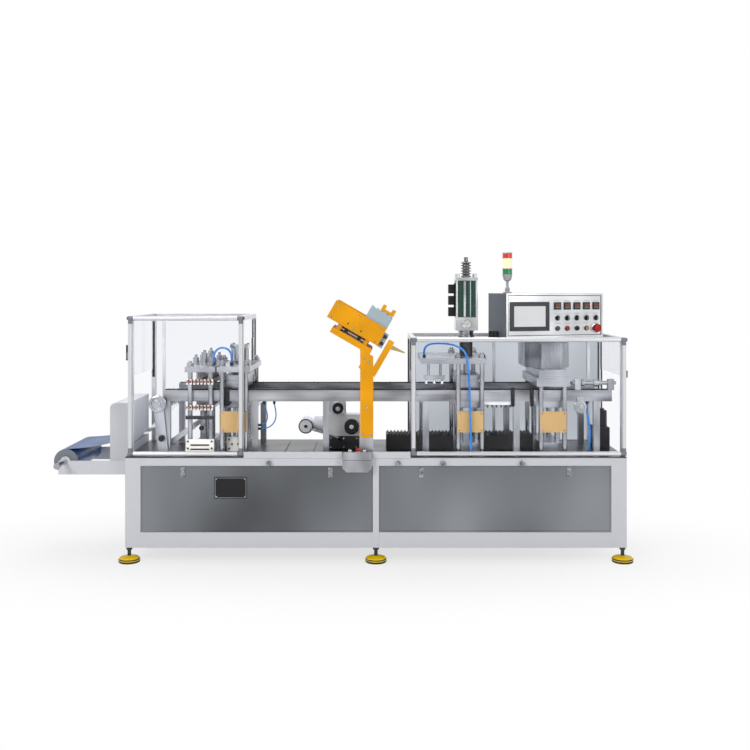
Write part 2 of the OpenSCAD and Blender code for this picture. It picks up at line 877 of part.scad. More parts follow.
// Film drive between the housings: gearbox, a drum on its left and two black wheels
drive_x = [-330, -110];
drive_h = 235;
drive_y = 60;
head_l = 104;
head_up = 45;
drum_x = -474;
drum_r = 49;
drum_up = 163;
wheel_up = 280;
module drive_gearbox() centred() {
    color("whitesmoke") {
        block(drive_x, [-drive_y, drive_y], [table_z, table_z + drive_h]);
        block([drive_x[0] + 20, drive_x[0] + 20 + head_l], [-drive_y + 10, drive_y - 10],
            [table_z + drive_h, table_z + wheel_up + head_up]);
        bar_x([drum_x + drum_r - 6, 0, table_z + drum_up], 36, drive_x[0] - drum_x - drum_r + 6);
        translate([drum_x, drive_y, table_z + drum_up])
            rotate([90, 0, 0])
                rotate_extrude()
                    polygon([[0, 0], [drum_r, 0], [drum_r, 165], [drum_r - 9, 170], [drum_r - 9, 158],
                        [24, 158], [24, 172], [0, 172]]);
    }
}

module drive_wheels() centred() {
    color("black")
        for (w = [[-258, wheel_up, 38, 10], [-165, 158, 50, 0]])
            translate([w[0], -drive_y + w[3], table_z + w[1]])
                rotate([90, 0, 0])
                    rotate_extrude()
                        polygon([[0, 0], [14, 0], [14, 10], [w[2], 10], [w[2], 44], [w[2] - 8, 52],
                            [0, 52]]);
}

// Folded dust bellows over the film draw slide, one length each side of the sealing press
bellows_h = 112;
bellows_y = 90;
fold = 24;
fold_depth = 16;
tool_room = tool_l / 2 + 14;
bellows_spans = [[70, seal_x - tool_room], [seal_x + tool_room, cut_x - tool_room]];
module bellows() centred() {
    color("black")
        for (span = bellows_spans) {
            n = floor((span[1] - span[0]) / fold);
            translate([span[0], bellows_y, table_z])
                rotate([90, 0, 0])
                    linear_extrude(2 * bellows_y)
                        polygon(concat([[0, 0]],
                            [for (i = [0 : n - 1], e = [0, 0.5])
                                [(i + e) * fold, bellows_h - (e == 0 ? fold_depth : 0)]],
                            [[n * fold, bellows_h - fold_depth], [n * fold, 0]]));
        }
}

// Black outfeed motor under the end of the rails
outfeed_w = 100;
outfeed_x = right_x + right_l / 2 - hood_post - 10 - outfeed_w / 2;
outfeed_h = 150;
module outfeed_motor() centred() {
    color("black") {
        block([outfeed_x - outfeed_w / 2, outfeed_x + outfeed_w / 2], [-80, 80],
            [table_z, table_z + outfeed_h]);
        translate([outfeed_x, 0, table_z + outfeed_h])
            rotate_extrude()
                polygon([[0, 0], [48, 0], [48, 104], [42, 110], [30, 110], [30, 122], [0, 122]]);
    }
}

// Control box on the roof sheet, turned towards the operator
box_x = 872;
box_y = -190;
box_z = table_z + right_h - hood_post / 2 + pane_t / 2;
lip = 10;
module on_box() {
    translate([box_x, box_y, box_z])
        rotate(box_turn)
            children();
}

module control_box() centred() {
    color("silver")
        on_box()
            difference() {
                block([0, box_w], [0, box_d], [0, box_h]);
                block([lip, box_w - lip], [-1, 4], [lip, box_h - lip]);
            }
}

// Touch screen in its dark bezel
screen_x = [28, 320];
screen_z = [46, 242];
bezel = 28;
module control_screen() centred() {
    color("dimgray")
        on_box()
            difference() {
                block(screen_x, [-6, 4], screen_z);
                block([screen_x[0] + bezel, screen_x[1] - bezel], [-7, -3],
                    [screen_z[0] + bezel, screen_z[1] - bezel]);
            }
}

// Rows of meters, selector knobs and push buttons, the last button a red mushroom head
switch_n = 5;
switch_x = 384;
switch_step = 74;
meter_z = 214;
knob_z = 132;
button_z = 61;
module control_switches() centred() {
    color("black")
        on_box()
            for (i = [0 : switch_n - 1])
                translate([switch_x + i * switch_step, 4, 0]) {
                    block([-25, 25], [-10, 0], [meter_z - 25, meter_z + 25]);
                    bar_y([0, -8, knob_z], 17, 8);
                    block([-5, 5], [-24, -8], [knob_z - 15, knob_z + 15]);
                    if (i < switch_n - 1)
                        bar_y([0, -16, button_z], 15, 16);
                    else {
                        bar_y([0, -18, button_z], 14, 18);
                        bar_y([0, -32, button_z], 27, 14);
                    }
                }
}

// Signal tower: base, ball joint, flared neck and dark rings between the lamps
tower_x = 75;
tower_y = 140;
lamp_z = [[130, 166], [170, 238], [242, 272]];
tower_r = tower_d / 2;
module tower_stem() centred() {
    color("lightgray")
        on_box()
            translate([tower_x, tower_y, box_h])
                rotate_extrude()
                    polygon([[0, 0], [30, 0], [30, 8], [14, 12], [17, 24], [17, 34], [9, 44], [9, 80],
                        [tower_r * 0.75, 92], [tower_r, 130], [7, 130], [7, 166], [tower_r, 166],
                        [tower_r, 170], [7, 170], [7, 238], [tower_r, 238], [tower_r, 242], [7, 242],
                        [7, 272], [tower_r, 272], [tower_r - 3, 279], [0, 279]]);
}

module tower_lamps() centred() {
    color("orangered")
        on_box()
            for (z = lamp_z)
                translate([tower_x, tower_y, box_h + z[0]])
                    difference() {
                        cylinder(r = tower_r - 2, h = z[1] - z[0]);
                        translate([0, 0, -1]) cylinder(r = 7, h = z[1] - z[0] + 2);
                    }
}

// Film unwinder: two arms on the end of the base with bearing eyes for the roll's shaft
arm_t = 8;
arm_y = roll_l / 2 + 10;
arm_top = base_top - 31;
shaft_r = 14;
shaft_x = -half_l - arm_l + 45;
shaft_z = arm_top - 6;
shaft_reach = 180;
eye_r = 34;
module unwinder_arms() centred() {
    color("white")
        for (side = [-1, 1]) {
            y = side > 0 ? arm_y : -arm_y - arm_t;
            difference() {
                union() {
                    block([-half_l - arm_l, -half_l], [y, y + arm_t], [arm_top - arm_h, arm_top]);
                    bar_y([shaft_x, y, shaft_z], eye_r, arm_t);
                }
                bar_y([shaft_x, y - 1, shaft_z], shaft_r + fit, arm_t + 2);
            }
        }
}

// Shaft with a collar at each arm and a grip at the front end
module reel_shaft() centred() {
    front = -arm_y - arm_t - shaft_reach;
    color("gainsboro") {
        bar_y([shaft_x, front, shaft_z], shaft_r, 2 * arm_y + 2 * arm_t + shaft_reach + 24);
        bar_y([shaft_x, front, shaft_z], shaft_r + 6, 26);
        bar_y([shaft_x, arm_y + arm_t + fit, shaft_z], shaft_r + 8, 16);
    }
}

module film_roll() centred() {
    color("steelblue")
        difference() {
            bar_y([shaft_x, -roll_l / 2, shaft_z], roll_r, roll_l);
            bar_y([shaft_x, -roll_l / 2 - 1, shaft_z], shaft_r + fit, roll_l + 2);
        }
}

// White infeed cover with a rounded shoulder, standing on the unwinder arms
cover_l = 120;
cover_h = 380;
cover_r = 36;
module infeed_cover() centred() {
    depth = 2 * (arm_y + arm_t);
    color("white")
        translate([-half_l - cover_l, depth / 2, arm_top])
            rotate([90, 0, 0])
                linear_extrude(depth)
                    union() {
                        square([cover_l, cover_h - cover_r]);
                        translate([cover_r, 0]) square([cover_l - cover_r, cover_h]);
                        translate([cover_r, cover_h - cover_r]) circle(cover_r);
                    }
}

// Card feeder under the sealing crosshead: two hung rods, a cross bar and its suction cups
module card_feeder() {
    bar_low = seal_z - 110;
    for (x = [feeder_x + 50, feeder_x + 130])
        bar_z([x, -200, bar_low + 26], 9, 84);
    block([feeder_x + 20, feeder_x + 160], [-216, -184], [bar_low, bar_low + 26]);
    for (x = [feeder_x + 36, feeder_x + 90, feeder_x + 144])
        translate([x, -200, bar_low - 30])
            cylinder(r1 = 12, r2 = 6, h = 30);
}

// Film guide rollers between the uprights, and the guide rod between the tray's spacers
roller_r = 22;
roller_drop = 60;
module rollers_and_rods() centred() {
    inner = rail_y - rail_w / 2;
    color("whitesmoke") {
        for (i = [0, 1, 3])
            bar_y([upright_xs[i], -inner, line_z - roller_drop], roller_r, 2 * inner);
        on_slope()
            bar_x([-board_up + 52, 34, (board_t + tray_z - sheet_t) / 2], 12, board_up - 104);
        card_feeder();
    }
}

// Air hoses: routes of hand-chosen points, each swept with a round section
hose_d = 14;
hose_sides = 10;
hose_form_route = [[-1085, -190, 1291], [-1085, -190, 1320], [-1082, -190, 1342], [-1074, -190, 1362],
    [-1061, -190, 1377], [-1044, -190, 1386], [-1025, -190, 1389], [-1006, -190, 1386],
    [-989, -190, 1377], [-976, -190, 1362], [-968, -190, 1342], [-965, -190, 1320],
    [-965, -190, 1291]];
hose_seal_route = [[320, -250, 1346], [320, -250, 1366], [323, -251, 1384], [332, -253, 1400],
    [348, -256, 1412], [370, -260, 1419], [400, -266, 1422], [432, -273, 1422], [464, -281, 1421],
    [496, -291, 1416], [526, -302, 1408], [552, -313, 1395], [574, -323, 1376], [590, -331, 1350],
    [600, -336, 1316], [606, -338, 1270], [609, -338, 1210], [611, -338, 1140], [613, -338, 1070],
    [615, -338, 1000], [617, -338, 930], [619, -338, 860], [620, -338, 800], [620, -338, 750],
    [620, -338, 712]];
hose_out_route = [[1400, -250, 1023], [1400, -250, 1000], [1402, -250, 965], [1407, -250, 925],
    [1413, -250, 885], [1418, -250, 845], [1418, -250, 805], [1416, -250, 770], [1414, -250, 740],
    [1414, -250, 712]];

function unit(v) = v / norm(v);
// Direction of the route at point i
function heading(route, i) =
    unit(route[min(i + 1, len(route) - 1)] - route[max(i - 1, 0)]);
// Ring of points around point i, level with the Y axis
function ring(route, i) =
    let (t = heading(route, i), n = unit(cross(t, [0, 1, 0])), b = cross(n, t))
    [for (k = [0 : hose_sides - 1])
        let (a = 360 * k / hose_sides)
        route[i] + hose_d / 2 * (cos(a) * n + sin(a) * b)];

module hose(route) {
    n = len(route);
    points = [for (i = [0 : n - 1]) each ring(route, i)];
    sides = [for (i = [0 : n - 2], k = [0 : hose_sides - 1])
        let (next = (k + 1) % hose_sides)
        [i * hose_sides + k, i * hose_sides + next, (i + 1) * hose_sides + next,
            (i + 1) * hose_sides + k]];
    first = [for (k = [hose_sides - 1 : -1 : 0]) k];
    last = [for (k = [0 : hose_sides - 1]) (n - 1) * hose_sides + k];
    color("royalblue")
        polyhedron(points, concat([first], sides, [last]));
}

module hose_form() centred() { hose(hose_form_route); }
module hose_seal() centred() { hose(hose_seal_route); }
module hose_out() centred() { hose(hose_out_route); }

// Black trim: hose fittings, clips on the front rail, the housing's grip and the box's swivel foot
fitting_r = 11;
clip_xs = [-1003, 904, 1030];
catch_low = 290;
catch_h = 100;
module black_trim() centred() {
    color("black") {
        for (p = [hose_form_route[0], hose_form_route[len(hose_form_route) - 1]])
            bar_z([p[0], p[1], cross_top], fitting_r, p[2] - cross_top);
        bar_z([hose_seal_route[0][0], hose_seal_route[0][1], seal_top], fitting_r,
            hose_seal_route[0][2] - seal_top);
        for (route = [hose_seal_route, hose_out_route]) {
            p = route[len(route) - 1];
            bar_z([p[0], p[1], table_z], fitting_r, p[2] - table_z);
        }
        bar_z(hose_out_route[0], fitting_r, rail_low - hose_out_route[0][2]);
        for (x = clip_xs)
            block([x - 9, x + 9], [-rail_y - rail_w / 2 - 7, -rail_y - rail_w / 2],
                [rail_low - 34, rail_top + 18]);
        block([left_x - left_l / 2 - 18, left_x - left_l / 2], [-hood_y + 5, -hood_y + hood_post - 5],
            [table_z + left_h - catch_low, table_z + left_h - catch_low + catch_h]);
        bar_z([box_x - 78, box_y + 50, box_z], 34, 46);
    }
}

frame_posts();
frame_rails();
side_panels();
end_panels();
panel_hardware();
table_plate();
foot_stems();
foot_pads();
housing_posts();
housing_beams();
housing_panes();
guard_hinges();
left_guard_tubes();
left_guard_corners();
left_guard_pane();
right_guard_tubes();
right_guard_corners();
right_guard_pane();
film_rails();
uprights();
press_columns();
crossheads();
lower_tools();
heater_plates();
heater_standoffs();
heat_cylinders();
form_platen();
form_cylinder();
seal_platen();
seal_neck();
seal_booster();
seal_tie_frame();
seal_stack();
seal_valves();
cut_cover();
station_plates();
mag_column();
mag_board();
mag_sides();
mag_cards();
mag_clamp();
mag_chute();
drive_gearbox();
drive_wheels();
bellows();
outfeed_motor();
control_box();
control_screen();
control_switches();
tower_stem();
tower_lamps();
unwinder_arms();
reel_shaft();
film_roll();
infeed_cover();
rollers_and_rods();
hose_form();
hose_seal();
hose_out();
black_trim();
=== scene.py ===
import math

import bpy
import numpy as np
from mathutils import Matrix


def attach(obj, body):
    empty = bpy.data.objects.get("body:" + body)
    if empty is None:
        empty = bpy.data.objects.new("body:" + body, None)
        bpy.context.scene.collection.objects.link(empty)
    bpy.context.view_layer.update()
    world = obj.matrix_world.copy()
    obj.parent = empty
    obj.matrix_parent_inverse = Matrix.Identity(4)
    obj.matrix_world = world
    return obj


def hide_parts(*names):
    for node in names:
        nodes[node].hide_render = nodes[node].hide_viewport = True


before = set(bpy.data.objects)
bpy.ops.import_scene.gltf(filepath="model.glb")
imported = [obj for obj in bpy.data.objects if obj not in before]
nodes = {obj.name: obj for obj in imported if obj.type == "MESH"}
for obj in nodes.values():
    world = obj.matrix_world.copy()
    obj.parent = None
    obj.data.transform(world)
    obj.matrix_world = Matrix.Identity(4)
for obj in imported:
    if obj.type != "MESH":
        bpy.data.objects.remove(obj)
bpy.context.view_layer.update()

# Viewpoint. The machine is seen square on from the operator's side at eye height, and the
# picture is slid down behind the lens so that every upright post stays upright. Places below
# are read from the floor under the middle of the welded base.
photo_side = 750.0
focal_pixels = 994.0
horizon_row = 290.0
base_middle = np.array((0.2235, 0.03, 0.0))
eye_place = base_middle + (-0.006, -6.84, 1.775)
eye_data = bpy.data.cameras.new("eye")
eye_data.sensor_width = 36.0
eye_data.lens = focal_pixels / photo_side * eye_data.sensor_width
eye_data.shift_y = (horizon_row - photo_side / 2) / photo_side
eye = bpy.data.objects.new("eye", eye_data)
eye.location = eye_place
eye.rotation_euler = (math.pi / 2, 0.0, 0.0)
bpy.context.scene.collection.objects.link(eye)
bpy.context.scene.camera = eye

# Welded base. Rectangular steel tube, welded into a frame, filled and sprayed in a cool white
# satin paint that has dulled a little and shows grey where its edges are knocked.
def new_group(name, inputs, outputs):
    """An empty shader node group with the named input and output sockets."""
    group = bpy.data.node_groups.new(name, "ShaderNodeTree")
    kinds = {"c": "NodeSocketColor", "f": "NodeSocketFloat", "v": "NodeSocketVector"}
    for direction, sockets in (("INPUT", inputs), ("OUTPUT", outputs)):
        for label, kind in sockets:
            group.interface.new_socket(name=label, in_out=direction, socket_type=kinds[kind])
    return group, group.nodes.new("NodeGroupInput"), group.nodes.new("NodeGroupOutput")


def feed(tree, node, given):
    """Gives a node its inputs: a socket by a link, and a number, colour or vector as it stands."""
    for label, value in given.items():
        if isinstance(value, bpy.types.NodeSocket):
            tree.links.new(value, node.inputs[label])
        else:
            node.inputs[label].default_value = value


def add_node(tree, kind, given, **settings):
    """A shader node of the kind with its own settings, fed with what is given."""
    node = tree.nodes.new("ShaderNode" + kind)
    for label, value in settings.items():
        setattr(node, label, value)
    feed(tree, node, given)
    return node


def math_node(tree, operation, *values):
    """A Math node whose inputs are numbers or sockets; gives back its output socket."""
    return add_node(tree, "Math", dict(enumerate(values)), operation=operation).outputs[0]


def object_place(tree):
    """The place on the piece itself, as a socket."""
    return add_node(tree, "TexCoord", {}).outputs["Object"]


def shade_by(tree, color, mask, depth):
    """The colour made lighter or darker by depth times how far the mask is from one half."""
    swing = math_node(tree, "MULTIPLY", math_node(tree, "SUBTRACT", mask, 0.5), depth)
    value = math_node(tree, "ADD", swing, 1.0)
    return add_node(tree, "HueSaturation", {"Value": value, "Color": color}).outputs["Color"]


def make_mottle():
    """Soft clouds and fine specks: two noises added, which shade the colour and give a mask."""
    group, given, result = new_group(
        "mottle", [("Color", "c"), ("Scale", "f"), ("Depth", "f")], [("Color", "c"), ("Mask", "f")])
    place, scale = object_place(group), given.outputs["Scale"]
    fine = math_node(group, "MULTIPLY", scale, 23.0)
    cloud_and_painted_sheen = add_node(group, "TexNoise", {"Vector": place, "Scale": scale, "Detail": 5.0})
    speck = add_node(group, "TexNoise", {"Vector": place, "Scale": fine, "Detail": 2.0})
    mask = math_node(group, "ADD", math_node(group, "MULTIPLY", cloud_and_painted_sheen.outputs["Fac"], 0.7),
                     math_node(group, "MULTIPLY", speck.outputs["Fac"], 0.3))
    shaded = shade_by(group, given.outputs["Color"], mask, given.outputs["Depth"])
    feed(group, result, {"Color": shaded, "Mask": mask})
    return group


def make_drawn(name, detail, roughness):
    """A noise stretched by the given scales, which shades the colour and gives a mask: drawn or brushed
    grain where it is detailed, and where it is smooth a broad soft painted sheen, light and shade painted
    into the colour."""
    group, given, result = new_group(
        name, [("Color", "c"), ("Stretch", "v"), ("Depth", "f")], [("Color", "c"), ("Mask", "f")])
    scaled = add_node(group, "VectorMath", {0: object_place(group), 1: given.outputs["Stretch"]},
                      operation="MULTIPLY")
    line = add_node(group, "TexNoise", {"Vector": scaled.outputs["Vector"], "Scale": 1.0, "Detail": detail,
                                        "Roughness": roughness})
    shaded = shade_by(group, given.outputs["Color"], line.outputs["Fac"], given.outputs["Depth"])
    feed(group, result, {"Color": shaded, "Mask": line.outputs["Fac"]})
    return group


def make_edge_wear():
    """Worn edges: where a rounded normal leaves the face's own one, broken up by noise, the bare
    colour shows, and the rounded normal catches the light."""
    group, given, result = new_group(
        "edge_wear", [("Color", "c"), ("Bare", "c"), ("Radius", "f"), ("Wear", "f")],
        [("Color", "c"), ("Normal", "v"), ("Mask", "f")])
    bevel = add_node(group, "Bevel", {"Radius": given.outputs["Radius"]}, samples=6).outputs["Normal"]
    face = add_node(group, "NewGeometry", {}).outputs["Normal"]
    turn = add_node(group, "VectorMath", {0: bevel, 1: face}, operation="DOT_PRODUCT").outputs["Value"]
    chip = add_node(group, "TexNoise", {"Vector": object_place(group), "Scale": 46.0, "Detail": 4.0})
    edge = math_node(group, "SUBTRACT", 1.0, turn)
    broken = math_node(group, "MULTIPLY", math_node(group, "MULTIPLY", edge, chip.outputs["Fac"]), 5.0)
    worn = math_node(group, "MINIMUM", math_node(group, "MULTIPLY", broken, given.outputs["Wear"]), 1.0)
    blend = add_node(group, "Mix",
                     {"Factor": worn, "A": given.outputs["Color"], "B": given.outputs["Bare"]},
                     data_type="RGBA")
    feed(group, result, {"Color": blend.outputs["Result"], "Normal": bevel, "Mask": worn})
    return group


mottle = make_mottle()
grain = make_drawn("grain", 6.0, 0.7)
# The smooth one is a painted sheen: broad soft patches of light and shade painted into the colour.
sheen = make_drawn("sheen", 0.5, 0.5)
edge_wear = make_edge_wear()


def new_material(name):
    """An empty material with its node tree and its shader."""
    material = bpy.data.materials.new(name)
    material.use_nodes = True
    return material, material.node_tree, material.node_tree.nodes["Principled BSDF"]


def finish(name, color, roughness, slot=None, metallic=0.0, stretch=None, scale=6.0, depth=0.1, spread=0.08,
           bump=0.0004, bare=(0.5, 0.5, 0.52), radius=0.003, wear=0.5, cloud_and_painted_sheen=None, **sockets):
    """A finish: mottle or drawn grain shades the colour and roughness and lifts a fine bump, and
    worn edges are laid over it. A painted sheen, broad soft light and shade painted into the colour,
    can lie under it by its scales and depth. Extra names set the shader's own sockets; slot is not used."""
    material, tree, shader = new_material(name)
    tint = (*color, 1.0)
    # Painted sheen: broad soft light and shade painted into the colour, under the grain.
    if cloud_and_painted_sheen:
        tint = add_node(tree, "Group", {"Color": tint, "Stretch": cloud_and_painted_sheen[0], "Depth": cloud_and_painted_sheen[1]},
                        node_tree=sheen).outputs["Color"]
    pattern = {"Stretch": stretch} if stretch else {"Scale": scale}
    skin = add_node(tree, "Group", {"Color": tint, "Depth": depth, **pattern},
                    node_tree=grain if stretch else mottle)
    worn = add_node(tree, "Group", {"Color": skin.outputs["Color"], "Bare": (*bare, 1.0), "Radius": radius,
                                    "Wear": wear}, node_tree=edge_wear)
    rough = add_node(tree, "MapRange",
                     {"Value": skin.outputs["Mask"], "To Min": max(roughness - spread, 0.03),
                      "To Max": min(roughness + spread, 1.0)})
    lift = add_node(tree, "Bump", {"Height": skin.outputs["Mask"], "Normal": worn.outputs["Normal"],
                                   "Strength": 0.5, "Distance": bump})
    feed(tree, shader, {"Base Color": worn.outputs["Color"], "Roughness": rough.outputs["Result"],
                        "Normal": lift.outputs["Normal"], "Metallic": metallic})
    feed(tree, shader, {label.replace("_", " "): value for label, value in sockets.items()})
    return material


def dress(material, *names):
    """Puts a finish on the material slots of the named CAD nodes."""
    for name in names:
        for held in nodes[name].material_slots:
            held.material = material


white_paint = finish("white_paint", (0.67, 0.68, 0.725), 0.38, scale=3.0, depth=0.06, bump=0.0002,
                     bare=(0.55, 0.56, 0.58), Coat_Weight=0.15, Coat_Roughness=0.25)
# A faint painted sheen, soft light and shade painted into the colour, lies on the cover paint.
cover_paint = finish("cover_paint", (0.60, 0.61, 0.65), 0.36, scale=3.0, depth=0.06, bump=0.0002,
                     bare=(0.5, 0.51, 0.53), cloud_and_painted_sheen=((2.5, 2.5, 2.5), 0.5))
dress(white_paint, "frame_posts", "frame_rails", "end_panels", "unwinder_arms")
dress(cover_paint, "infeed_cover")


# Air hoses. Blue polyurethane tube, 14 mm across, pushed into black elbow fittings: one arches
# between the heating and forming heads, one loops down from the sealing head, one at the outfeed.
# Two thinner ones loop from the rail to an upright, on push-in fittings of their own.
def spline(route, steps=6):
    """A smooth line through the route: on each stretch the cubic whose slope at a point is half
    the way from the point before it to the point after it."""
    route = np.array(route, dtype=float)
    ends = np.vstack((2 * route[:1] - route[1:2], route, 2 * route[-1:] - route[-2:-1]))
    a, b, c, d = ends[:-3, None], ends[1:-2, None], ends[2:-1, None], ends[3:, None]
    t = (np.arange(steps) / steps)[None, :, None]
    line = b + (c - a) / 2 * t + (a - 2.5 * b + 2 * c - d / 2) * t**2 + (1.5 * (b - c) + (d - a) / 2) * t**3
    return np.vstack((line.reshape(-1, 3), route[-1:]))


def grid_faces(rows, columns, around=False, along=False):
    """Quads of a grid of points numbered row by row; around joins the last column to the first,
    and along the last row to the first."""
    a, b = np.meshgrid(np.arange(rows if along else rows - 1),
                       np.arange(columns if around else columns - 1), indexing="ij")
    c, d = (a + 1) % rows, (b + 1) % columns
    return np.stack((a * columns + b, a * columns + d, c * columns + d, c * columns + b), -1).reshape(-1, 4)


def capped(rows, columns):
    """Faces of a closed shell of rings: quads between the rings and one flat face on each end."""
    ring = np.arange(columns)
    return grid_faces(rows, columns, around=True).tolist() + [
        ring[::-1].tolist(), (ring + (rows - 1) * columns).tolist()]


def tube(line, radius, sides=12):
    """A round profile carried along a line: each ring stands square to the line, its first axis
    square to the line and as near as can be to the one before."""
    ahead = np.gradient(line, axis=0)
    ahead /= np.linalg.norm(ahead, axis=1, keepdims=True)
    across = np.cross(ahead, (0.0, 1.0, 0.01))
    across /= np.linalg.norm(across, axis=1, keepdims=True)
    third = np.cross(ahead, across)
    turn = np.linspace(0, 2 * np.pi, sides, endpoint=False)[None, :, None]
    points = line[:, None] + radius * (np.cos(turn) * across[:, None] + np.sin(turn) * third[:, None])
    return points.reshape(-1, 3), capped(len(line), sides)


crease_degrees = 35.0


def add_piece(name, shapes, material):
    """One piece of the machine from shapes in millimetres, shaded smooth up to a crease angle."""
    starts = np.cumsum([0] + [len(points) for points, _ in shapes])
    points = np.vstack([points for points, _ in shapes]) / 1000 + base_middle
    faces = [[corner + start for corner in face]
             for (_, shape_faces), start in zip(shapes, starts) for face in shape_faces]
    mesh = bpy.data.meshes.new(name)
    mesh.from_pydata(points.tolist(), [], faces)
    mesh.polygons.foreach_set("use_smooth", np.ones(len(mesh.polygons), dtype=bool))
    mesh.set_sharp_from_angle(angle=math.radians(crease_degrees))
    mesh.materials.append(material)
    piece = bpy.data.objects.new(name, mesh)
    bpy.context.scene.collection.objects.link(piece)
    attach(piece, "machine")
    return piece


hose_width, loop_width = 14.0, 8.0
blue_hose = finish("blue_hose", (0.008, 0.19, 0.60), 0.28, scale=14.0, depth=0.10, bump=0.0001,
                   wear=0.0, Coat_Weight=0.4, Coat_Roughness=0.1)
hose_routes = {
    "hose_form": [(-1085, -190, 1291), (-1085, -190, 1320), (-1082, -190, 1342), (-1074, -190, 1362),
                  (-1061, -190, 1377), (-1044, -190, 1386), (-1025, -190, 1389), (-1006, -190, 1386),
                  (-989, -190, 1377), (-976, -190, 1362), (-968, -190, 1342), (-965, -190, 1320),
                  (-965, -190, 1291)],
    "hose_seal": [(320, -250, 1346), (320, -250, 1366), (323, -251, 1384), (332, -253, 1400),
                  (348, -256, 1412), (370, -260, 1419), (400, -266, 1422), (432, -273, 1422),
                  (464, -281, 1421), (496, -291, 1416), (526, -302, 1408), (552, -313, 1395),
                  (574, -323, 1376), (590, -331, 1350), (600, -336, 1316), (606, -338, 1270),
                  (609, -338, 1210), (611, -338, 1140), (613, -338, 1070), (615, -338, 1000),
                  (617, -338, 930), (619, -338, 860), (620, -338, 800), (620, -338, 750),
                  (620, -338, 712)],
    "hose_out": [(1400, -250, 1023), (1400, -250, 1000), (1402, -250, 965), (1407, -250, 925),
                 (1413, -250, 885), (1418, -250, 845), (1418, -250, 805), (1416, -250, 770),
                 (1414, -250, 740), (1414, -250, 712)],
    "hose_loop_near": [(-740, -250, 1039), (-739, -250, 1020), (-734, -250, 1000), (-727, -250, 978),
                       (-721, -250, 955), (-719, -250, 932), (-724, -250, 910), (-736, -250, 893),
                       (-755, -250, 883), (-780, -250, 880)],
    "hose_loop_far": [(-674, -250, 1039), (-672, -250, 1015), (-667, -250, 990), (-663, -250, 962),
                      (-663, -250, 935), (-670, -250, 908), (-684, -250, 886), (-705, -250, 869),
                      (-730, -250, 860), (-756, -250, 857), (-780, -250, 856)],
}
for node, route in hose_routes.items():
    line = spline(route)
    width = hose_width if node in nodes else loop_width
    hose = add_piece(node.replace("hose", "air_hose"), [tube(line, width / 2)], blue_hose)
    if node in nodes:
        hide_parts(node)


# Doors and table. Brushed stainless sheet: two long doors let into the base on each side, each
# with a narrow folded rim, and the top plate that carries the stations. The brushing runs along.
# A white painted kerb is screwed in front of the table's edge, in two lengths.
def slab(width, height, depth, corner, edge, arc=4):
    """A plate lying on XY: rings of a rectangle with round corners, set in by the edge at the
    bottom and the top, so that its rims are chamfered."""
    signs = np.array(((1, 1), (-1, 1), (-1, -1), (1, -1)))[:, None]
    turn = np.arange(4)[:, None] * np.pi / 2 + np.linspace(0, np.pi / 2, arc)
    around = np.stack((np.cos(turn), np.sin(turn)), -1)
    inset = np.array((edge, 0.0, 0.0, edge))[:, None, None, None]
    round_off = np.maximum(corner - inset, 0.02)
    flat = signs * (np.array((width, height)) / 2 - inset - round_off) + round_off * around
    rise = np.broadcast_to(np.array((0, edge, depth - edge, depth))[:, None, None, None],
                           flat.shape[:3] + (1,))
    return np.concatenate((flat, rise), -1).reshape(-1, 3), capped(4, 4 * arc)


def border(width, height, band, depth, edge):
    """A picture-frame rim lying on XY: a four-sided profile with chamfered top carried round the
    rectangle with mitred corners."""
    corners = np.array(((1, 1), (-1, 1), (-1, -1), (1, -1)))[:, None]
    profile = np.array(((band, 0), (band, depth - edge), (band - edge, depth), (edge, depth),
                        (0, depth - edge), (0, 0)))
    flat = corners * (np.array((width, height)) / 2 - profile[:, :1])
    rise = np.broadcast_to(profile[:, 1:], flat.shape[:2] + (1,))
    points = np.concatenate((flat, rise), -1).reshape(-1, 3)
    return points, grid_faces(4, len(profile), around=True, along=True)


facings = {"up": ((1, 0, 0), (0, 1, 0), (0, 0, 1)), "front": ((1, 0, 0), (0, 0, -1), (0, 1, 0)),
           "back": ((-1, 0, 0), (0, 0, 1), (0, 1, 0)), "right": ((0, 0, 1), (1, 0, 0), (0, 1, 0)),
           "left": ((0, 0, -1), (-1, 0, 0), (0, 1, 0)), "down": ((1, 0, 0), (0, -1, 0), (0, 0, -1))}


def lay(shape, spots, facing="up"):
    """Copies of a shape whose Z axis is turned to the facing, one at each spot."""
    points, faces = shape
    spots = np.array(spots, dtype=float).reshape(-1, 1, 3)
    every = (spots + points @ np.array(facings[facing], dtype=float).T).reshape(-1, 3)
    starts = np.arange(len(spots)) * len(points)
    return every, [[corner + start for corner in face] for start in starts.tolist() for face in faces]


def add_row(name, shape, spots, facing, material):
    """One piece of copies of a shape, which faces the given way at each spot."""
    return add_piece(name, [lay(shape, spots, facing)], material)


# The broad sheen on the doors and the table is a painted reflection: soft bright and dark streaks painted
# into the colour, standing for the lamps' reflections in the brushed sheet.
door_sheet = finish("door_sheet", (0.185, 0.195, 0.21), 0.36, slot="brushed_sheet", metallic=1.0,
                    stretch=(2.5, 420.0, 420.0), cloud_and_painted_sheen=((1.9, 1.0, 1.1), 2.0), depth=0.14, spread=0.10,
                    bump=0.00003, bare=(0.6, 0.6, 0.62), radius=0.002, wear=0.3)
table_sheet = finish("table_sheet", (0.11, 0.115, 0.125), 0.34, slot="brushed_sheet", metallic=1.0,
                     stretch=(2.5, 420.0, 420.0), cloud_and_painted_sheen=((3.0, 4.0, 2.0), 2.0), depth=0.22,
                     spread=0.10, bump=0.00003, bare=(0.7, 0.7, 0.72), radius=0.002, wear=0.3)
dress(door_sheet, "side_panels")
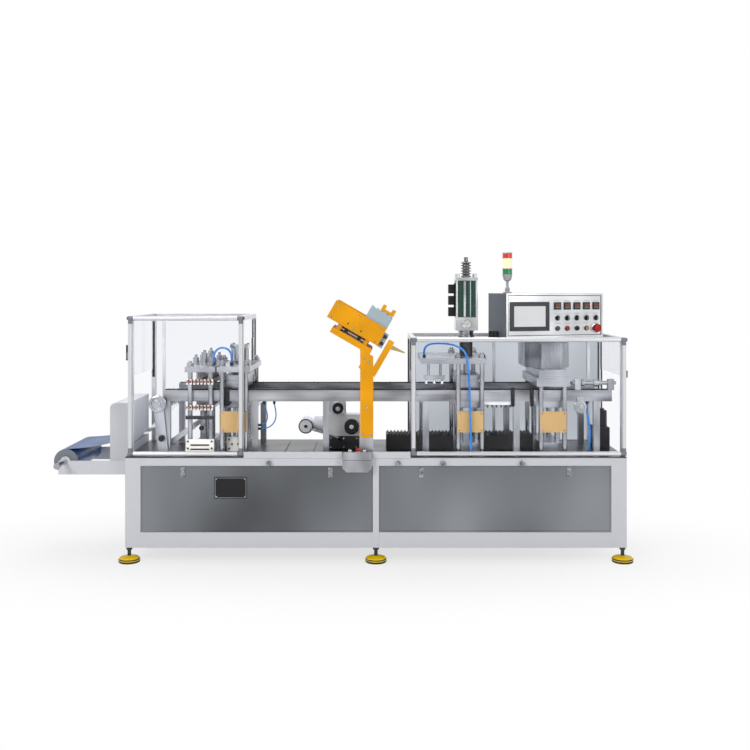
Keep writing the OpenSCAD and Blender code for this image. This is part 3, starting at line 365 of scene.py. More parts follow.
# The uprights' broad sheen is painted: soft light and shade painted into the colour.
leg_sheet = finish("leg_sheet", (0.44, 0.45, 0.48), 0.34, slot="machined_plate", metallic=0.8,
                   stretch=(300.0, 300.0, 3.0), cloud_and_painted_sheen=((12.0, 12.0, 4.0), 1.4), depth=0.14,
                   bump=0.00003, bare=(0.8, 0.8, 0.82), radius=0.002, wear=0.5)
dress(table_sheet, "table_plate")
dress(leg_sheet, "uprights")
door_face, door_middle, door_long, door_tall = 374.0, 775.0, 1510.0, 432.0
door_rim = border(door_long - 4, door_tall - 4, 9.0, 3.0, 1.0)
door_z = 416
rims = [lay(door_rim, [(x, y, door_z) for x in (-door_middle, door_middle)], facing)
        for y, facing in ((-door_face, "front"), (door_face, "back"))]
add_piece("door_rims", rims, door_sheet)

table_z = 690
add_row("table_covers", slab(180, 560, 7, 5, 2), [(-700, 0, table_z), (-508, 0, table_z)], "up",
        table_sheet)
kerb_y, kerb_z = -380, 702
kerb_left, kerb_right = slab(641, 44, 4, 2, 1.5), slab(248, 44, 4, 2, 1.5)
add_piece("front_kerb",
          [lay(kerb_left, [(-539.5, kerb_y, kerb_z)], "front"),
           lay(kerb_right, [(101, kerb_y, kerb_z)], "front")], white_paint)

# Latches and knobs. Polished steel: a flush lever latch at the outer top corner of each door, and
# turned knobs screwed through the rail above the doors.
# Both carry a painted sheen: broad soft highlights and shade painted into the colour, strongest on the
# knobs.
bright_metal = finish("bright_metal", (0.44, 0.45, 0.47), 0.14, metallic=1.0,
                      cloud_and_painted_sheen=((9.0, 9.0, 6.0), 1.2), scale=40.0, depth=0.10, spread=0.06, bump=0.00003,
                      bare=(0.85, 0.85, 0.86), radius=0.0015, wear=0.4)
knob_metal = finish("knob_metal", (0.24, 0.25, 0.27), 0.2, slot="bright_metal", metallic=1.0,
                    cloud_and_painted_sheen=((40.0, 40.0, 40.0), 2.4), scale=60.0, depth=0.1, bump=0.00003,
                    bare=(0.9, 0.9, 0.9), radius=0.003, wear=0.9)
dress(knob_metal, "panel_hardware")

# A dark plate at each latch is painted shade: it stands for the shaded slot under the lever.
latch_face, latch_z = -382, 577
add_row("latch_slot_shades", slab(18, 24, 1, 3, 0.3),
        [(x, latch_face, latch_z) for x in (-1255, -295, 295, 1255)], "front", knob_metal)

# Rating plate. A black anodised plate with a bare rim line, left blank, held to the left door by
# four dome rivets.
black_plastic = finish("black_plastic", (0.012, 0.012, 0.014), 0.45, Specular_IOR_Level=0.3,
                       scale=26.0, depth=0.3, bump=0.0002, bare=(0.08, 0.08, 0.085), wear=0.5)
plate_wide, plate_tall, plate_x, plate_z = 215.0, 143.0, -945.5, 488.0
add_row("rating_plate", slab(plate_wide, plate_tall, 2.5, 5.0, 0.8), [(plate_x, -door_face, plate_z)],
        "front", black_plastic)


def turned(profile, sides=24, ring=False):
    """A profile of radius and height pairs carried round the Z axis, closed flat at both ends, or,
    for a ring, from its last pair back to its first."""
    profile = np.array(profile, dtype=float)
    turn = np.linspace(0, 2 * np.pi, sides, endpoint=False)
    points = np.stack((np.outer(profile[:, 0], np.cos(turn)), np.outer(profile[:, 0], np.sin(turn)),
                       np.repeat(profile[:, 1:], sides, axis=1)), -1)
    rows = len(profile)
    return points.reshape(-1, 3), grid_faces(rows, sides, True, True) if ring else capped(rows, sides)


plate_line = border(plate_wide - 12, plate_tall - 12, 2.5, 0.6, 0.2)
rivet = turned([(5, 0), (5, 1), (4.2, 2.2), (2.6, 3.2), (0.8, 3.6)], 14)
rivet_spots = [(plate_x + i * (plate_wide / 2 - 15), -door_face - 2.5, plate_z + j * (plate_tall / 2 - 15))
               for i in (-1, 1) for j in (-1, 1)]
add_piece("rating_plate_trim", [lay(plate_line, [(plate_x, -door_face - 2.5, plate_z)], "front"),
                                lay(rivet, rivet_spots, "front")], bright_metal)

# Levelling feet. Yellow moulded pads with a black rubber sole, on dark steel stems that screw up
# into the base and are locked by a hexagon nut.
dark_metal = finish("dark_metal", (0.05, 0.05, 0.054), 0.38, metallic=0.7, scale=18.0, depth=0.25,
                    bump=0.0001, bare=(0.45, 0.45, 0.46), radius=0.002, wear=0.8)
yellow_pad = finish("yellow_pad", (0.97, 0.64, 0.003), 0.42, Specular_IOR_Level=0.3, scale=12.0,
                    depth=0.10, bump=0.0002, bare=(0.90, 0.62, 0.18), wear=0.3)
black_rubber = finish("black_rubber", (0.016, 0.016, 0.017), 0.55, scale=30.0, depth=0.3, bump=0.0003,
                      bare=(0.05, 0.05, 0.05), wear=0.6)
dress(dark_metal, "foot_stems")
dress(yellow_pad, "foot_pads")
foot_spots = [(x, y, 0) for x in (-1610, 0, 1610) for y in (-350, 350)]
sole = turned([(65.6, 1.2), (68.8, 4), (69.2, 7), (68.8, 13), (67.4, 14.5)], 40)
groove = turned([(67.4, 19), (69, 20.5), (69, 24), (66.5, 26.5)], 40)
add_piece("foot_soles", [lay(sole, foot_spots), lay(groove, foot_spots)], black_rubber)

# Guard housings. Anodised aluminium bars and round tubes with dark moulded corners, glazed with
# clear acrylic sheet. The two front guards hang on the top front bars and swing up. Rubber strips
# lie on three of the rear posts, and black ducts carry cables up at the back.
aluminium = finish("aluminium", (0.74, 0.75, 0.78), 0.32, metallic=0.6, stretch=(60.0, 60.0, 60.0),
                   depth=0.10, spread=0.07, bump=0.00003, bare=(0.82, 0.82, 0.83), radius=0.0025,
                   wear=0.5)
grey_moulding = finish("grey_moulding", (0.20, 0.22, 0.26), 0.45, scale=24.0, depth=0.16, bump=0.0002,
                       bare=(0.3, 0.3, 0.32), wear=0.5)


def clear_sheet_finish(name, tint, back=None):
    """Clear sheet: a smooth transmitting shader that lets light through to what is behind it. Where
    a back tint is given, the far sheets of the right housing take it, with a broad painted sheen over the
    tint."""
    material, tree, shader = new_material(name)
    clear = (*tint, 1.0)
    feed(tree, shader, {"Base Color": clear, "Transmission Weight": 1.0, "IOR": 1.12})
    if back:
        split = add_node(tree, "SeparateXYZ", {"Vector": object_place(tree)})
        # The back tint is shaded by a painted sheen: broad soft light and shade painted into the tint.
        back_tint_and_painted_sheen = add_node(tree, "Group", {"Color": (*back, 1.0), "Stretch": (1.5, 1.0, 1.8), "Depth": 0.9},
                        node_tree=sheen)
        far = math_node(tree, "GREATER_THAN", split.outputs["Y"], base_middle[1] + 0.325)
        right = math_node(tree, "GREATER_THAN", split.outputs["X"], base_middle[0])
        tinted = add_node(tree, "Mix", {"Factor": math_node(tree, "MULTIPLY", far, right), "A": clear,
                                        "B": back_tint_and_painted_sheen.outputs["Color"]}, data_type="RGBA")
        feed(tree, shader, {"Base Color": tinted.outputs["Result"]})
    smears = add_node(tree, "Group", {"Scale": 4.0}, node_tree=mottle)
    smudge = add_node(tree, "MapRange", {"Value": smears.outputs["Mask"], "To Min": 0.0, "To Max": 0.05})
    feed(tree, shader, {"Roughness": smudge.outputs["Result"]})
    ray = add_node(tree, "LightPath", {})
    through = add_node(tree, "BsdfTransparent", {"Color": clear})
    blend = add_node(tree, "MixShader", {"Fac": ray.outputs["Is Shadow Ray"], 1: shader.outputs["BSDF"],
                                         2: through.outputs["BSDF"]})
    feed(tree, tree.nodes["Material Output"], {"Surface": blend.outputs["Shader"]})
    return material


clear_sheet = clear_sheet_finish("clear_sheet", (0.945, 0.95, 0.97), (0.54, 0.57, 0.61))
dress(aluminium, "housing_posts", "housing_beams", "left_guard_tubes", "right_guard_tubes")
dress(grey_moulding, "left_guard_corners", "right_guard_corners")
dress(clear_sheet, "housing_panes", "left_guard_pane", "right_guard_pane")
dress(dark_metal, "guard_hinges")
left_top, right_top = 1605, 1465
post_tops = [(-1600, left_top), (-880, left_top), (245, right_top), (1615, right_top)]
socket_screw = turned([(7, 0), (7, 5), (6.2, 6), (3.6, 6), (3.4, 3.2), (0.6, 3.0)], 16)
back_spots = [(x, 350, top - step) for x, top in post_tops for step in (15, 60, 380, 700)]
end_spots = [(-1615, y, left_top - step) for y in (-335, 335) for step in (15, 60, 420)]
far_spots = [(1630, y, right_top - step) for y in (-335, 335) for step in (15, 60, 420)]
add_piece("housing_screws", [lay(socket_screw, back_spots, "back"), lay(socket_screw, end_spots, "left"),
                             lay(socket_screw, far_spots, "right")], bright_metal)
catch = slab(22, 46, 16, 4, 2)
add_piece("guard_catches",
          [lay(catch, [(-1615, -335, 1345)], "left"), lay(catch, [(1630, -335, 1225)], "right")],
          grey_moulding)

pane_seat, gasket_foot, gasket_short = 320, 700, 740
gaskets = [lay(slab(9, top - gasket_short, 3, 1, 0.8),
               [(x + side * 11, pane_seat, gasket_foot + (top - gasket_short) / 2)
                for side in (-1, 1)], "front") for x, top in post_tops[1:]]
add_piece("pane_gaskets", gaskets, black_rubber)

duct_left, duct_right = slab(16, 400, 12, 3, 2), slab(16, 250, 12, 3, 2)
add_piece("cable_ducts",
          [lay(duct_left, [(-1600, pane_seat, 1350)], "front"),
           lay(duct_right, [(1528, 332, 1290)], "front")], black_plastic)

# Film line. Two drawn aluminium rails carry the clip chain that pulls the film through; they stand
# on square uprights, with turned guide rollers between. Black guide strips are screwed along the
# rail tops, the steel clips of the chain run beside them, and black clamps hold the front rail.
# The rails carry a painted sheen: broad soft highlights and shade painted into the colour.
rail_metal = finish("rail_metal", (0.36, 0.365, 0.385), 0.30, metallic=1.0, stretch=(3.0, 260.0, 90.0),
                    cloud_and_painted_sheen=((5.0, 3.0, 14.0), 2.2), depth=0.55, spread=0.1, bump=0.00004,
                    bare=(0.8, 0.8, 0.82), radius=0.002, wear=0.8)
dress(rail_metal, "film_rails")
dress(bright_metal, "rollers_and_rods")
rail_mid, rail_face, rail_from, rail_to, rail_top = 250.0, -270.0, -1395.0, 1555.0, 1113.0
strip_middle = (rail_from + rail_to) / 2
add_row("chain_guides", slab(rail_to - rail_from, 15, 7, 2, 1.5),
        [(strip_middle, s * (rail_mid + 2), rail_top) for s in (-1, 1)], "up", black_plastic)
clip_x = np.arange(rail_from + 22, rail_to - 10, 30.0)
add_row("chain_clips", slab(19, 11, 8, 2, 1.5, 2),
        [(x, s * (rail_mid - 13), rail_top) for s in (-1, 1) for x in clip_x], "up", dark_metal)
strip_spots = [(x, s * (rail_mid + 2), rail_top + 7) for s in (-1, 1)
               for x in np.arange(-1340, 1540, 180.0)]
add_row("chain_guide_screws", turned([(4, 0), (4, 2), (3, 2.8), (0.6, 2.8)], 10), strip_spots, "up",
        bright_metal)

loops = ("hose_loop_near", "hose_loop_far")
push_in = turned([(9, -1), (9, 9), (7.5, 11), (7.5, 20), (6.5, 22), (5, 22)], 20)
add_piece("loop_fittings",
          [lay(push_in, [hose_routes[name][0] for name in loops], "down"),
           lay(push_in, [hose_routes[name][-1] for name in loops], "right")], black_plastic)
add_row("line_clamps", slab(25, 118, 10, 2, 1.5), [(x, rail_face, 1068) for x in (-980, 904, 1030)],
        "front", black_plastic)

# Line fittings. A shaft with clamp rings runs in two blocks on the rail at the outfeed, a round
# bearing cover hangs on a bracket beside it, and a pale air manifold is screwed under the rail.
add_row("shaft_blocks", slab(42, 36, 72, 4, 3),
        [(1335, -rail_mid, rail_top), (1555, -rail_mid, rail_top)], "up", leg_sheet)
add_row("outfeed_shaft",
        turned([(11, 0), (13, 2), (13, 60), (22, 62), (22, 80), (13, 82), (13, 140), (24, 142),
                (24, 166), (17, 168), (17, 200), (13, 202), (13, 288), (11, 290)], 28),
        [(1300, -rail_mid, 1160)], "right", bright_metal)
add_row("bearing_bracket", slab(44, 112, 12, 6, 2), [(1347, rail_face, 1012)], "front", leg_sheet)
add_row("bearing_cover",
        turned([(40, 0), (42, 2), (42, 12), (38, 15), (26, 15), (24, 9), (14, 9), (12, 20), (1, 21)],
               40), [(1347, -282, 1005)], "front", bright_metal)
manifold_white = finish("manifold_white", (0.74, 0.75, 0.76), 0.35, slot="white_casting", scale=12.0,
                        depth=0.08, bump=0.0001, wear=0.3)
add_row("air_manifold", slab(200, 25, 24, 3, 2), [(815, -242, 1026.4)], "front", manifold_white)
add_row("manifold_nipples", turned([(7, -1), (7, 4), (5, 5), (5, 10), (6, 11), (6, 15), (4, 17)], 14),
        [(740 + 30 * i, -254, 1014) for i in range(6)], "down", dark_metal)

# Infeed arm. A cast lever stands on the table at the start of the line and carries the ribbed bearing
# of the tension roller; two flat braces run from the table up to the heating station.
def carried(shape, origin, turn):
    """A shape taken from the frame of a tilted or turned piece: turned by the matrix, then moved."""
    points, faces = shape
    return points @ np.array(turn).T + np.array(origin, dtype=float), faces


def tilt(degrees):
    """The matrix of a turn about the Y axis that lowers what lies ahead on X."""
    angle = np.radians(degrees)
    return ((np.cos(angle), 0, np.sin(angle)), (0, 1, 0), (-np.sin(angle), 0, np.cos(angle)))


arm_plate = carried(lay(slab(66, 344, 14, 24, 2), [(0, 0, 0)], "front"), (-1418, -276, 862), tilt(-6.25))
arm_foot = lay(slab(96, 44, 18, 4, 3), [(-1400, -284, table_z)])
add_piece("infeed_arm", [arm_plate, arm_foot], leg_sheet)
add_row("infeed_bearing",
        turned([(50, 0), (56, 3), (56, 16), (50, 20), (40, 20), (37, 13), (24, 13), (21, 24), (8, 26),
                (1, 26)], 44), [(-1437, -290, 1027)], "front", bright_metal)
add_row("infeed_knob", turned([(8, 0), (8, 10), (20, 13), (21, 24), (17, 29), (1, 30)], 28),
        [(-1408, -290, 800)], "front", black_plastic)
brace = lay(slab(298, 34, 20, 3, 2), [(0, 0, 0)], "front")
braces = [carried(brace, (-1334, y, 783), tilt(-35.2)) for y in (-194, 214)]
add_piece("infeed_braces", braces, leg_sheet)

# Clear film. A thin clear web held by the clips at both edges; it climbs from the infeed cover under
# the first roller to the line, and carries three rows of formed cups after the forming press.
film_half, film_to, line_z = 226.0, 1030.0, 1077.1
film_clear = clear_sheet_finish("clear_film", (0.90, 0.92, 0.95))
climb = [(-1630, 742), (-1560, 806), (-1470, 894), (-1402, 962), (-1380, 982), (-1340, 1010),
         (-1280, 1052), (-1240, 1073), (-1215, line_z)]
ramp = spline([(x, 0, z) for x, z in climb], 4)
film_x = np.concatenate((ramp[:, 0], np.linspace(-1190, film_to, 50)))
film_z = np.concatenate((ramp[:, 2], np.full(50, line_z)))


def thin_web(x, z, half, columns):
    """A web half a millimetre thick that follows a line in XZ: each ring runs across at the line
    and back above it."""
    over = np.linspace(-half, half, columns)
    around_y, lift = np.concatenate((over, over[::-1])), np.repeat((0.0, 0.5), columns)
    points = np.stack(np.broadcast_arrays(x[:, None], around_y, z[:, None] + lift), -1)
    return points.reshape(-1, 3), capped(len(x), 2 * columns)


line_film = add_piece("line_film", [thin_web(film_x, film_z, film_half, 12)], film_clear)
cup_u = np.linspace(0, 2 * np.pi, 28, endpoint=False)


def cup(length, width, depth, rows=6):
    """A formed cup hanging under the film: rings of a superellipse of power four that shrink and
    drop along a quarter ellipse."""
    fall = np.linspace(0, np.pi / 2, rows)[:, None]
    sharp = (np.abs(np.cos(cup_u)) ** 4 + np.abs(np.sin(cup_u)) ** 4) ** -0.25
    shrink = 0.72 + 0.28 * np.cos(fall)
    points = np.stack((length / 2 * shrink * sharp * np.cos(cup_u),
                       width / 2 * shrink * sharp * np.sin(cup_u),
                       np.broadcast_to(depth * np.sin(fall), (rows, len(cup_u)))), -1)
    return points.reshape(-1, 3), capped(rows, len(cup_u))


cup_spots = [(x, y, 1075.2) for x in np.arange(-739, 150, 115.0) for y in (-140, 0, 140)]
add_row("formed_cups", cup(97, 101, 22), cup_spots, "down", film_clear)

# Press stations. Ground steel columns, machined plates and tools for heating, forming, sealing
# and cutting, with air cylinders on the heads. Washers and hexagon nuts hold each head on its
# columns, tie rods clamp the forming cylinder, and white terminals on dark strips feed the heaters.
# The plates carry a painted sheen: broad soft highlights and shade painted into the colour.
machined_plate = finish("machined_plate", (0.42, 0.43, 0.46), 0.28, metallic=1.0,
                        stretch=(5.0, 5.0, 260.0), cloud_and_painted_sheen=((4.0, 3.0, 5.0), 1.4), depth=0.22,
                        spread=0.05, bump=0.00002, bare=(0.8, 0.8, 0.82), radius=0.002, wear=0.6)
ceramic = finish("ceramic", (0.80, 0.77, 0.70), 0.25, scale=30.0, depth=0.08, bump=0.0001, wear=0.0,
                 Coat_Weight=0.5, Coat_Roughness=0.1)
dress(bright_metal, "press_columns", "heat_cylinders", "form_cylinder")
dress(machined_plate, "crossheads", "lower_tools", "form_platen", "seal_platen")
dress(dark_metal, "heater_plates")
dress(ceramic, "heater_standoffs")
form_x, seal_x, cut_x = -935, 620, 1165
washer = turned([(27, 0), (28, 1), (28, 3), (27, 4)], 28)
hexagon = turned([(21, 4), (23, 6), (23, 22), (21, 24)], 6)
stub = turned([(13.5, 24), (13.5, 36), (11.5, 38.5), (1, 38.5)], 20)
head_spots = [(x, y, top) for x, top in ((-1223, 1271), (-1087, 1271), (-1013, 1271), (-857, 1271),
                                         (542, 1326), (698, 1326)) for y in (-294, 294)]
add_piece("column_nuts", [lay(washer, head_spots), lay(hexagon, head_spots), lay(stub, head_spots)],
          bright_metal)
heat_middle, column_front, terminal_z = -1155, -310, (1004, 1172)
strip_bar, cross_bar = slab(188, 32, 8, 3, 2), slab(188, 24, 10, 3, 2)
add_piece("terminal_strips", [lay(strip_bar, [(heat_middle, column_front, z) for z in terminal_z], "front"),
                              lay(cross_bar, [(heat_middle, column_front, 938)], "front")], dark_metal)
terminal_x = heat_middle + np.linspace(-82, 82, 8)
terminal_spots = [(x, column_front - 8, z) for x in terminal_x for z in terminal_z]
add_row("heater_terminals", slab(15, 34, 14, 2, 1.5, 2), terminal_spots, "front", ceramic)
lead_red = finish("lead_red", (0.20, 0.016, 0.026), 0.45, slot="black_plastic", Specular_IOR_Level=0.3,
                  scale=20.0, depth=0.2, bump=0.0001, wear=0.0)
add_row("terminal_caps", turned([(4.6, 0), (4.6, 7), (3.6, 8.5), (0.6, 8.8)], 12),
        [(x, y - 14, z) for x, y, z in terminal_spots], "front", lead_red)
link_ends = [(x, z) for z in terminal_z for x in terminal_x[:-1]]
link_step = terminal_x[1] - terminal_x[0]
arch = ((0, -337, 0), (0.2, -342, 9), (0.5, -344, 14), (0.8, -342, 9), (1, -337, 0))
link_routes = [[(x + link_step * share, y, z + up) for share, y, up in arch] for x, z in link_ends]
add_piece("terminal_links", [tube(spline(route, 4), 2.2, 6) for route in link_routes], lead_red)
wide_foot, foot_block = slab(188, 96, 10, 4, 3), slab(112, 96, 15, 4, 3)
add_piece("station_feet", [lay(wide_foot, [(heat_middle, column_front, 748)], "front"),
                           lay(foot_block, [(form_x, -224, 752)], "front")], ceramic)
bolt_places = ((-40, 722), (-40, 782), (40, 722), (40, 782), (-20, 752), (20, 752))
foot_bolts = [(form_x + i, -239, z) for i, z in bolt_places]
wide_bolts = [(heat_middle + i * 78, column_front - 10, z) for i in (-1, 1) for z in (736, 782)]
add_row("station_bolts", socket_screw, foot_bolts + wide_bolts, "front", dark_metal)
# Black strips on the white foot stand for the shade in its slots: painted shade. A black knob sits on the
# forming foot.
slot_shade = slab(124, 10, 1.5, 4, 0.4)
slot_knob = turned([(7, -1), (7, 14), (16, 17), (17, 30), (13, 35), (1, 36)], 28)
add_piece("slot_shades_and_knob", [lay(slot_shade, [(heat_middle, column_front - 10, z) for z in (758, 730)], "front"),
                         lay(slot_knob, [(heat_middle, -224, 860)], "front")], black_plastic)
tie = turned([(5, 24), (5, 106), (4, 106.5)], 10)
tie_nut = turned([(9, 130), (10, 131), (10, 138), (8.5, 139)], 6)
tie_spots = [(form_x + i * 49, j * 49, 1271) for i in (-1, 1) for j in (-1, 1)]
add_piece("form_tie_rods", [lay(tie, tie_spots), lay(tie_nut, tie_spots)], bright_metal)

# Station plates. Bare cream plates hung in front of the lower tools, each on four small screws.
cream_plate = finish("cream_plate", (0.50, 0.325, 0.13), 0.45, Specular_IOR_Level=0.3, scale=8.0,
                     depth=0.12, bump=0.0001, bare=(0.6, 0.58, 0.52), wear=0.4)
dress(cream_plate, "station_plates")
plate_screw = turned([(5.5, 0), (5.5, 2), (4.4, 3.4), (0.8, 3.6)], 14)
screw_spots = [(x + i * 72, -315, z) for x in (form_x, seal_x, cut_x) for i in (-1, 1) for z in (854, 964)]
add_row("station_plate_screws", plate_screw, screw_spots, "front", bright_metal)

# Sealing cylinder. A ribbed green body between machined end plates with steel tie rods, a dark
# neck below with a chromed collar where it comes through the roof, a pressure gauge in the block,
# a stack of disc springs on top and black valves on its left side.
green_body = finish("green_body", (0.008, 0.070, 0.045), 0.26, scale=10.0, depth=0.2, bump=0.0001,
                    bare=(0.10, 0.22, 0.17), wear=0.5, Coat_Weight=0.4, Coat_Roughness=0.15)
spring_steel = finish("spring_steel", (0.20, 0.20, 0.21), 0.24, metallic=1.0, scale=20.0, depth=0.25,
                      bare=(0.7, 0.7, 0.7), wear=0.9)
dress(dark_metal, "seal_neck")
dress(green_body, "seal_booster")
# The end plates carry a painted sheen: broad soft highlights and shade painted into the colour.
booster_plate = finish("booster_plate", (0.72, 0.73, 0.75), 0.28, slot="machined_plate", metallic=0.8,
                       stretch=(4.0, 4.0, 260.0), depth=0.14, cloud_and_painted_sheen=((9.0, 9.0, 9.0), 1.2),
                       spread=0.05, bump=0.00002, bare=(0.85, 0.85, 0.86), radius=0.002, wear=0.6)
dress(booster_plate, "seal_tie_frame")
dress(spring_steel, "seal_stack")
dress(black_plastic, "seal_valves", "black_trim")
strip_wide = lay(slab(15, 244, 5, 2, 1.5), [(seal_x - 14, -60, 1714)], "front")
strip_thin = lay(slab(7, 244, 5, 2, 1.5), [(seal_x + 25, -60, 1714)], "front")
add_piece("booster_strips", [strip_wide, strip_thin], booster_plate)
add_row("neck_collar",
        turned([(46, 1455), (60, 1455), (60, 1466), (52, 1469), (52, 1489), (56, 1491), (56, 1497),
                (46, 1498.5)], 48), [(seal_x, 0, 0)], "up", bright_metal)
gauge_z = 1544
gauge_spot = (seal_x, -95, gauge_z)
add_row("gauge_rim", turned([(24, 0), (31, 0), (31, 5), (28.5, 7), (25.5, 6)], 40, ring=True),
        [gauge_spot], "front", bright_metal)
gauge_white = finish("gauge_white", (0.80, 0.80, 0.77), 0.4, slot="cream_plate", scale=20.0,
                     depth=0.05, wear=0.0)
add_row("gauge_face", turned([(24.5, 0), (24.5, 1.5), (0.5, 1.6)], 40), [gauge_spot], "front",
        gauge_white)
tick_turn = np.radians(np.linspace(-225, 45, 10))
tick_spots = [(seal_x + 20 * np.cos(t), -96.5, gauge_z + 20 * np.sin(t)) for t in tick_turn]
hand_y = -97.6
hand = tube(spline([(612, hand_y, 1537), (seal_x, hand_y, gauge_z), (633, hand_y, 1556)]), 1.0, 6)
add_piece("gauge_marks", [lay(slab(2.2, 2.2, 0.4, 0.5, 0.1, 2), tick_spots, "front"), hand],
          black_plastic)

# Card magazine. Orange painted sheet trays on a square column, tilted toward the line, holding a
# stack of coated cards; a small brass chute hands them down. Cap screws hold the column, the board
# and the trays, two black clamp levers lock the tray, and a pale separator draws off the cards.
# A faint painted sheen, soft light and shade painted into the colour, lies on the orange paint.
orange_paint = finish("orange_paint", (0.90, 0.385, 0.002), 0.42, scale=4.0, depth=0.05, bump=0.0001,
                      bare=(0.95, 0.50, 0.06), wear=0.5, cloud_and_painted_sheen=((6.0, 6.0, 6.0), 0.5),
                      Specular_IOR_Level=0.25)
card_stock = finish("card_stock", (0.42, 0.52, 0.58), 0.50, stretch=(420.0, 3.0, 240.0), depth=0.6,
                    bump=0.0002, wear=0.0)
brass_chute = finish("brass_chute", (0.62, 0.47, 0.20), 0.26, metallic=1.0, scale=10.0, depth=0.1,
                     bare=(0.8, 0.68, 0.4), wear=0.5)
dress(orange_paint, "mag_column", "mag_board", "mag_sides", "mag_clamp")
dress(card_stock, "mag_cards")
dress(brass_chute, "mag_chute")
mag_face = -345
slope_place, slope_turn = (-60, mag_face, 1362), tilt(30)


def on_slope(shape, spots):
    """Copies of a shape that faces front, in the magazine's own tilted frame."""
    return carried(lay(shape, spots, "front"), slope_place, slope_turn)


column_places = [(-60, 1007), (-86, 834), (-34, 834), (-72, 1330), (-48, 1300)]
column_spots = [(x, mag_face, z) for x, z in column_places]
tray_spots = [(x, 0, z) for x in (-320, -160, 10) for z in (92, 186)]
column_screws = lay(socket_screw, column_spots, "front")
tray_screws = on_slope(plate_screw, tray_spots)
add_piece("magazine_screws", [column_screws, tray_screws], bright_metal)
lever_hub = turned([(12, -2), (13, 0), (13, 12), (10, 16), (2, 17)], 20)
lever_spots = [(-190, 22, 58), (-92, 22, 58)]
hubs = on_slope(lever_hub, lever_spots)
lever_bend = ((0, -10, 60), (-3, -13, 76), (-10, -17, 98), (-14, -19, 112))
lever_lines = [spline([(x + i, y + j, z) for i, j, z in lever_bend]) for x, y, _ in lever_spots]
arms = [carried(tube(line, 5.5, 10), slope_place, slope_turn) for line in lever_lines]
add_piece("clamp_levers", [hubs] + arms, black_plastic)
slide_white = finish("slide_white", (0.55, 0.63, 0.68), 0.4, slot="card_stock", scale=12.0, depth=0.1,
                     bump=0.0001, wear=0.2)
slide = on_slope(slab(236, 36, 3, 3, 1), [(-140, 52, 58)])
add_piece("tray_slide", [slide], slide_white)

separator = on_slope(slab(34, 104, 46, 4, 2), [(52, 72, 124)])
add_piece("card_separator", [separator], slide_white)
small_knob = turned([(6, -1), (6, 6), (12, 8), (13, 17), (10, 21), (1, 22)], 22)
knob_spots = [(52, 26, 152), (52, 26, 102)]
add_piece("separator_knobs", [on_slope(small_knob, knob_spots)], dark_metal)

# Drive. A white cast gearbox with black hand wheels under the line, black folded bellows over the
# feed slides, and a black motor at the outfeed. A dark ring closes the pale drum, a lever with a
# black knob locks it, and the wheels have pale hub caps.
white_casting = finish("white_casting", (0.70, 0.71, 0.73), 0.45, scale=16.0, depth=0.12, bump=0.0005,
                       bare=(0.5, 0.5, 0.52), wear=0.4)
dress(white_casting, "drive_gearbox")
dress(black_plastic, "drive_wheels", "outfeed_motor")
dress(black_rubber, "bellows")
drum_spot = [(-474, -112, 853)]
add_row("drum_ring", turned([(43, -2), (49.5, -2), (49.5, 5), (47.5, 8), (45, 8), (43, 5)], 48,
                            ring=True), drum_spot, "front", black_plastic)
add_row("drum_face", turned([(42, -1), (42, 3), (40, 5), (26, 5), (24, 2), (20, 2), (19, 6), (1, 6)],
                            44), drum_spot, "front", white_casting)
add_row("drum_hub", turned([(11, 5), (11, 10), (9, 12), (1, 12)], 28), drum_spot, "front",
        black_plastic)
add_row("motor_jacket", turned([(37, 0), (50, 4), (53, 10), (53, 82), (49, 92), (37, 94)], 40),
        [(-427, 0, 853)], "right", white_casting)
upper_x, upper_z, lower_x, lower_z = -258, 970, -165, 848
upper_collar = lay(turned([(44, 0), (46, 2), (46, 11), (43, 14), (1, 14)], 36),
                   [(upper_x, -60, upper_z)], "front")
lower_collar = lay(turned([(56, 0), (58, 2), (58, 9), (55, 12), (1, 12)], 40),
                   [(lower_x, -60, lower_z)], "front")
add_piece("wheel_collars", [upper_collar, lower_collar], booster_plate)
lever = tube(spline([(-446, -121, 838), (-380, -124, 817), (-310, -129, 795), (-249, -134, 776)]), 6.5, 12)
add_piece("drum_lever", [lever], bright_metal)
add_row("lever_knob", turned([(5, 0), (12, 3), (16, 10), (16, 18), (12, 25), (4, 28)], 24),
        [(-256, -134, 774)], "right", black_plastic)
foot_x, foot_z = -220, 736
add_row("drive_foot", slab(212, 88, 14, 4, 2), [(foot_x, -60, foot_z)], "front", dark_metal)
foot_screws = [(foot_x + i * 88, -74, foot_z + j * 30) for i in (-1, 0, 1) for j in (-1, 1)]
add_row("drive_foot_screws", socket_screw, foot_screws, "front", bright_metal)
add_row("wheel_caps", turned([(15, -1), (15, 3), (12, 6), (6, 7), (1, 7)], 28),
        [(upper_x, -102, upper_z), (lower_x, -112, lower_z)], "front", white_casting)

# Button box. A folded sheet box at the front of the table, by the magazine's foot, with a red stop
# button between two pale start buttons on its lid, each pressed into a turned collar.
box_middle, box_front_y, box_lid = -121.0, -403.0, 726.0
add_row("button_box", slab(190, 46, 52, 5, 3), [(box_middle, box_front_y, 674)], "up", leg_sheet)
start_spots = [(-168, box_front_y, box_lid), (-74, box_front_y, box_lid)]
stop_spot = [(-115, box_front_y, box_lid)]
add_row("start_collars", turned([(14, -1), (15, 0), (15, 4), (13, 6), (2, 6)], 28),
        start_spots + stop_spot, "up", bright_metal)
add_row("start_buttons", turned([(11, 5), (11, 12), (9.5, 14), (1, 14.6)], 28), start_spots, "up",
        manifold_white)
red_cap = finish("red_cap", (0.58, 0.010, 0.008), 0.42, slot="black_plastic", Specular_IOR_Level=0.3,
                 scale=20.0, depth=0.1, bump=0.0001, wear=0.0)
add_row("table_stop_button",
        turned([(8, 5), (8, 10), (16, 12), (17.5, 16), (16, 20), (10, 23), (1, 24)], 32), stop_spot,
        "up", red_cap)

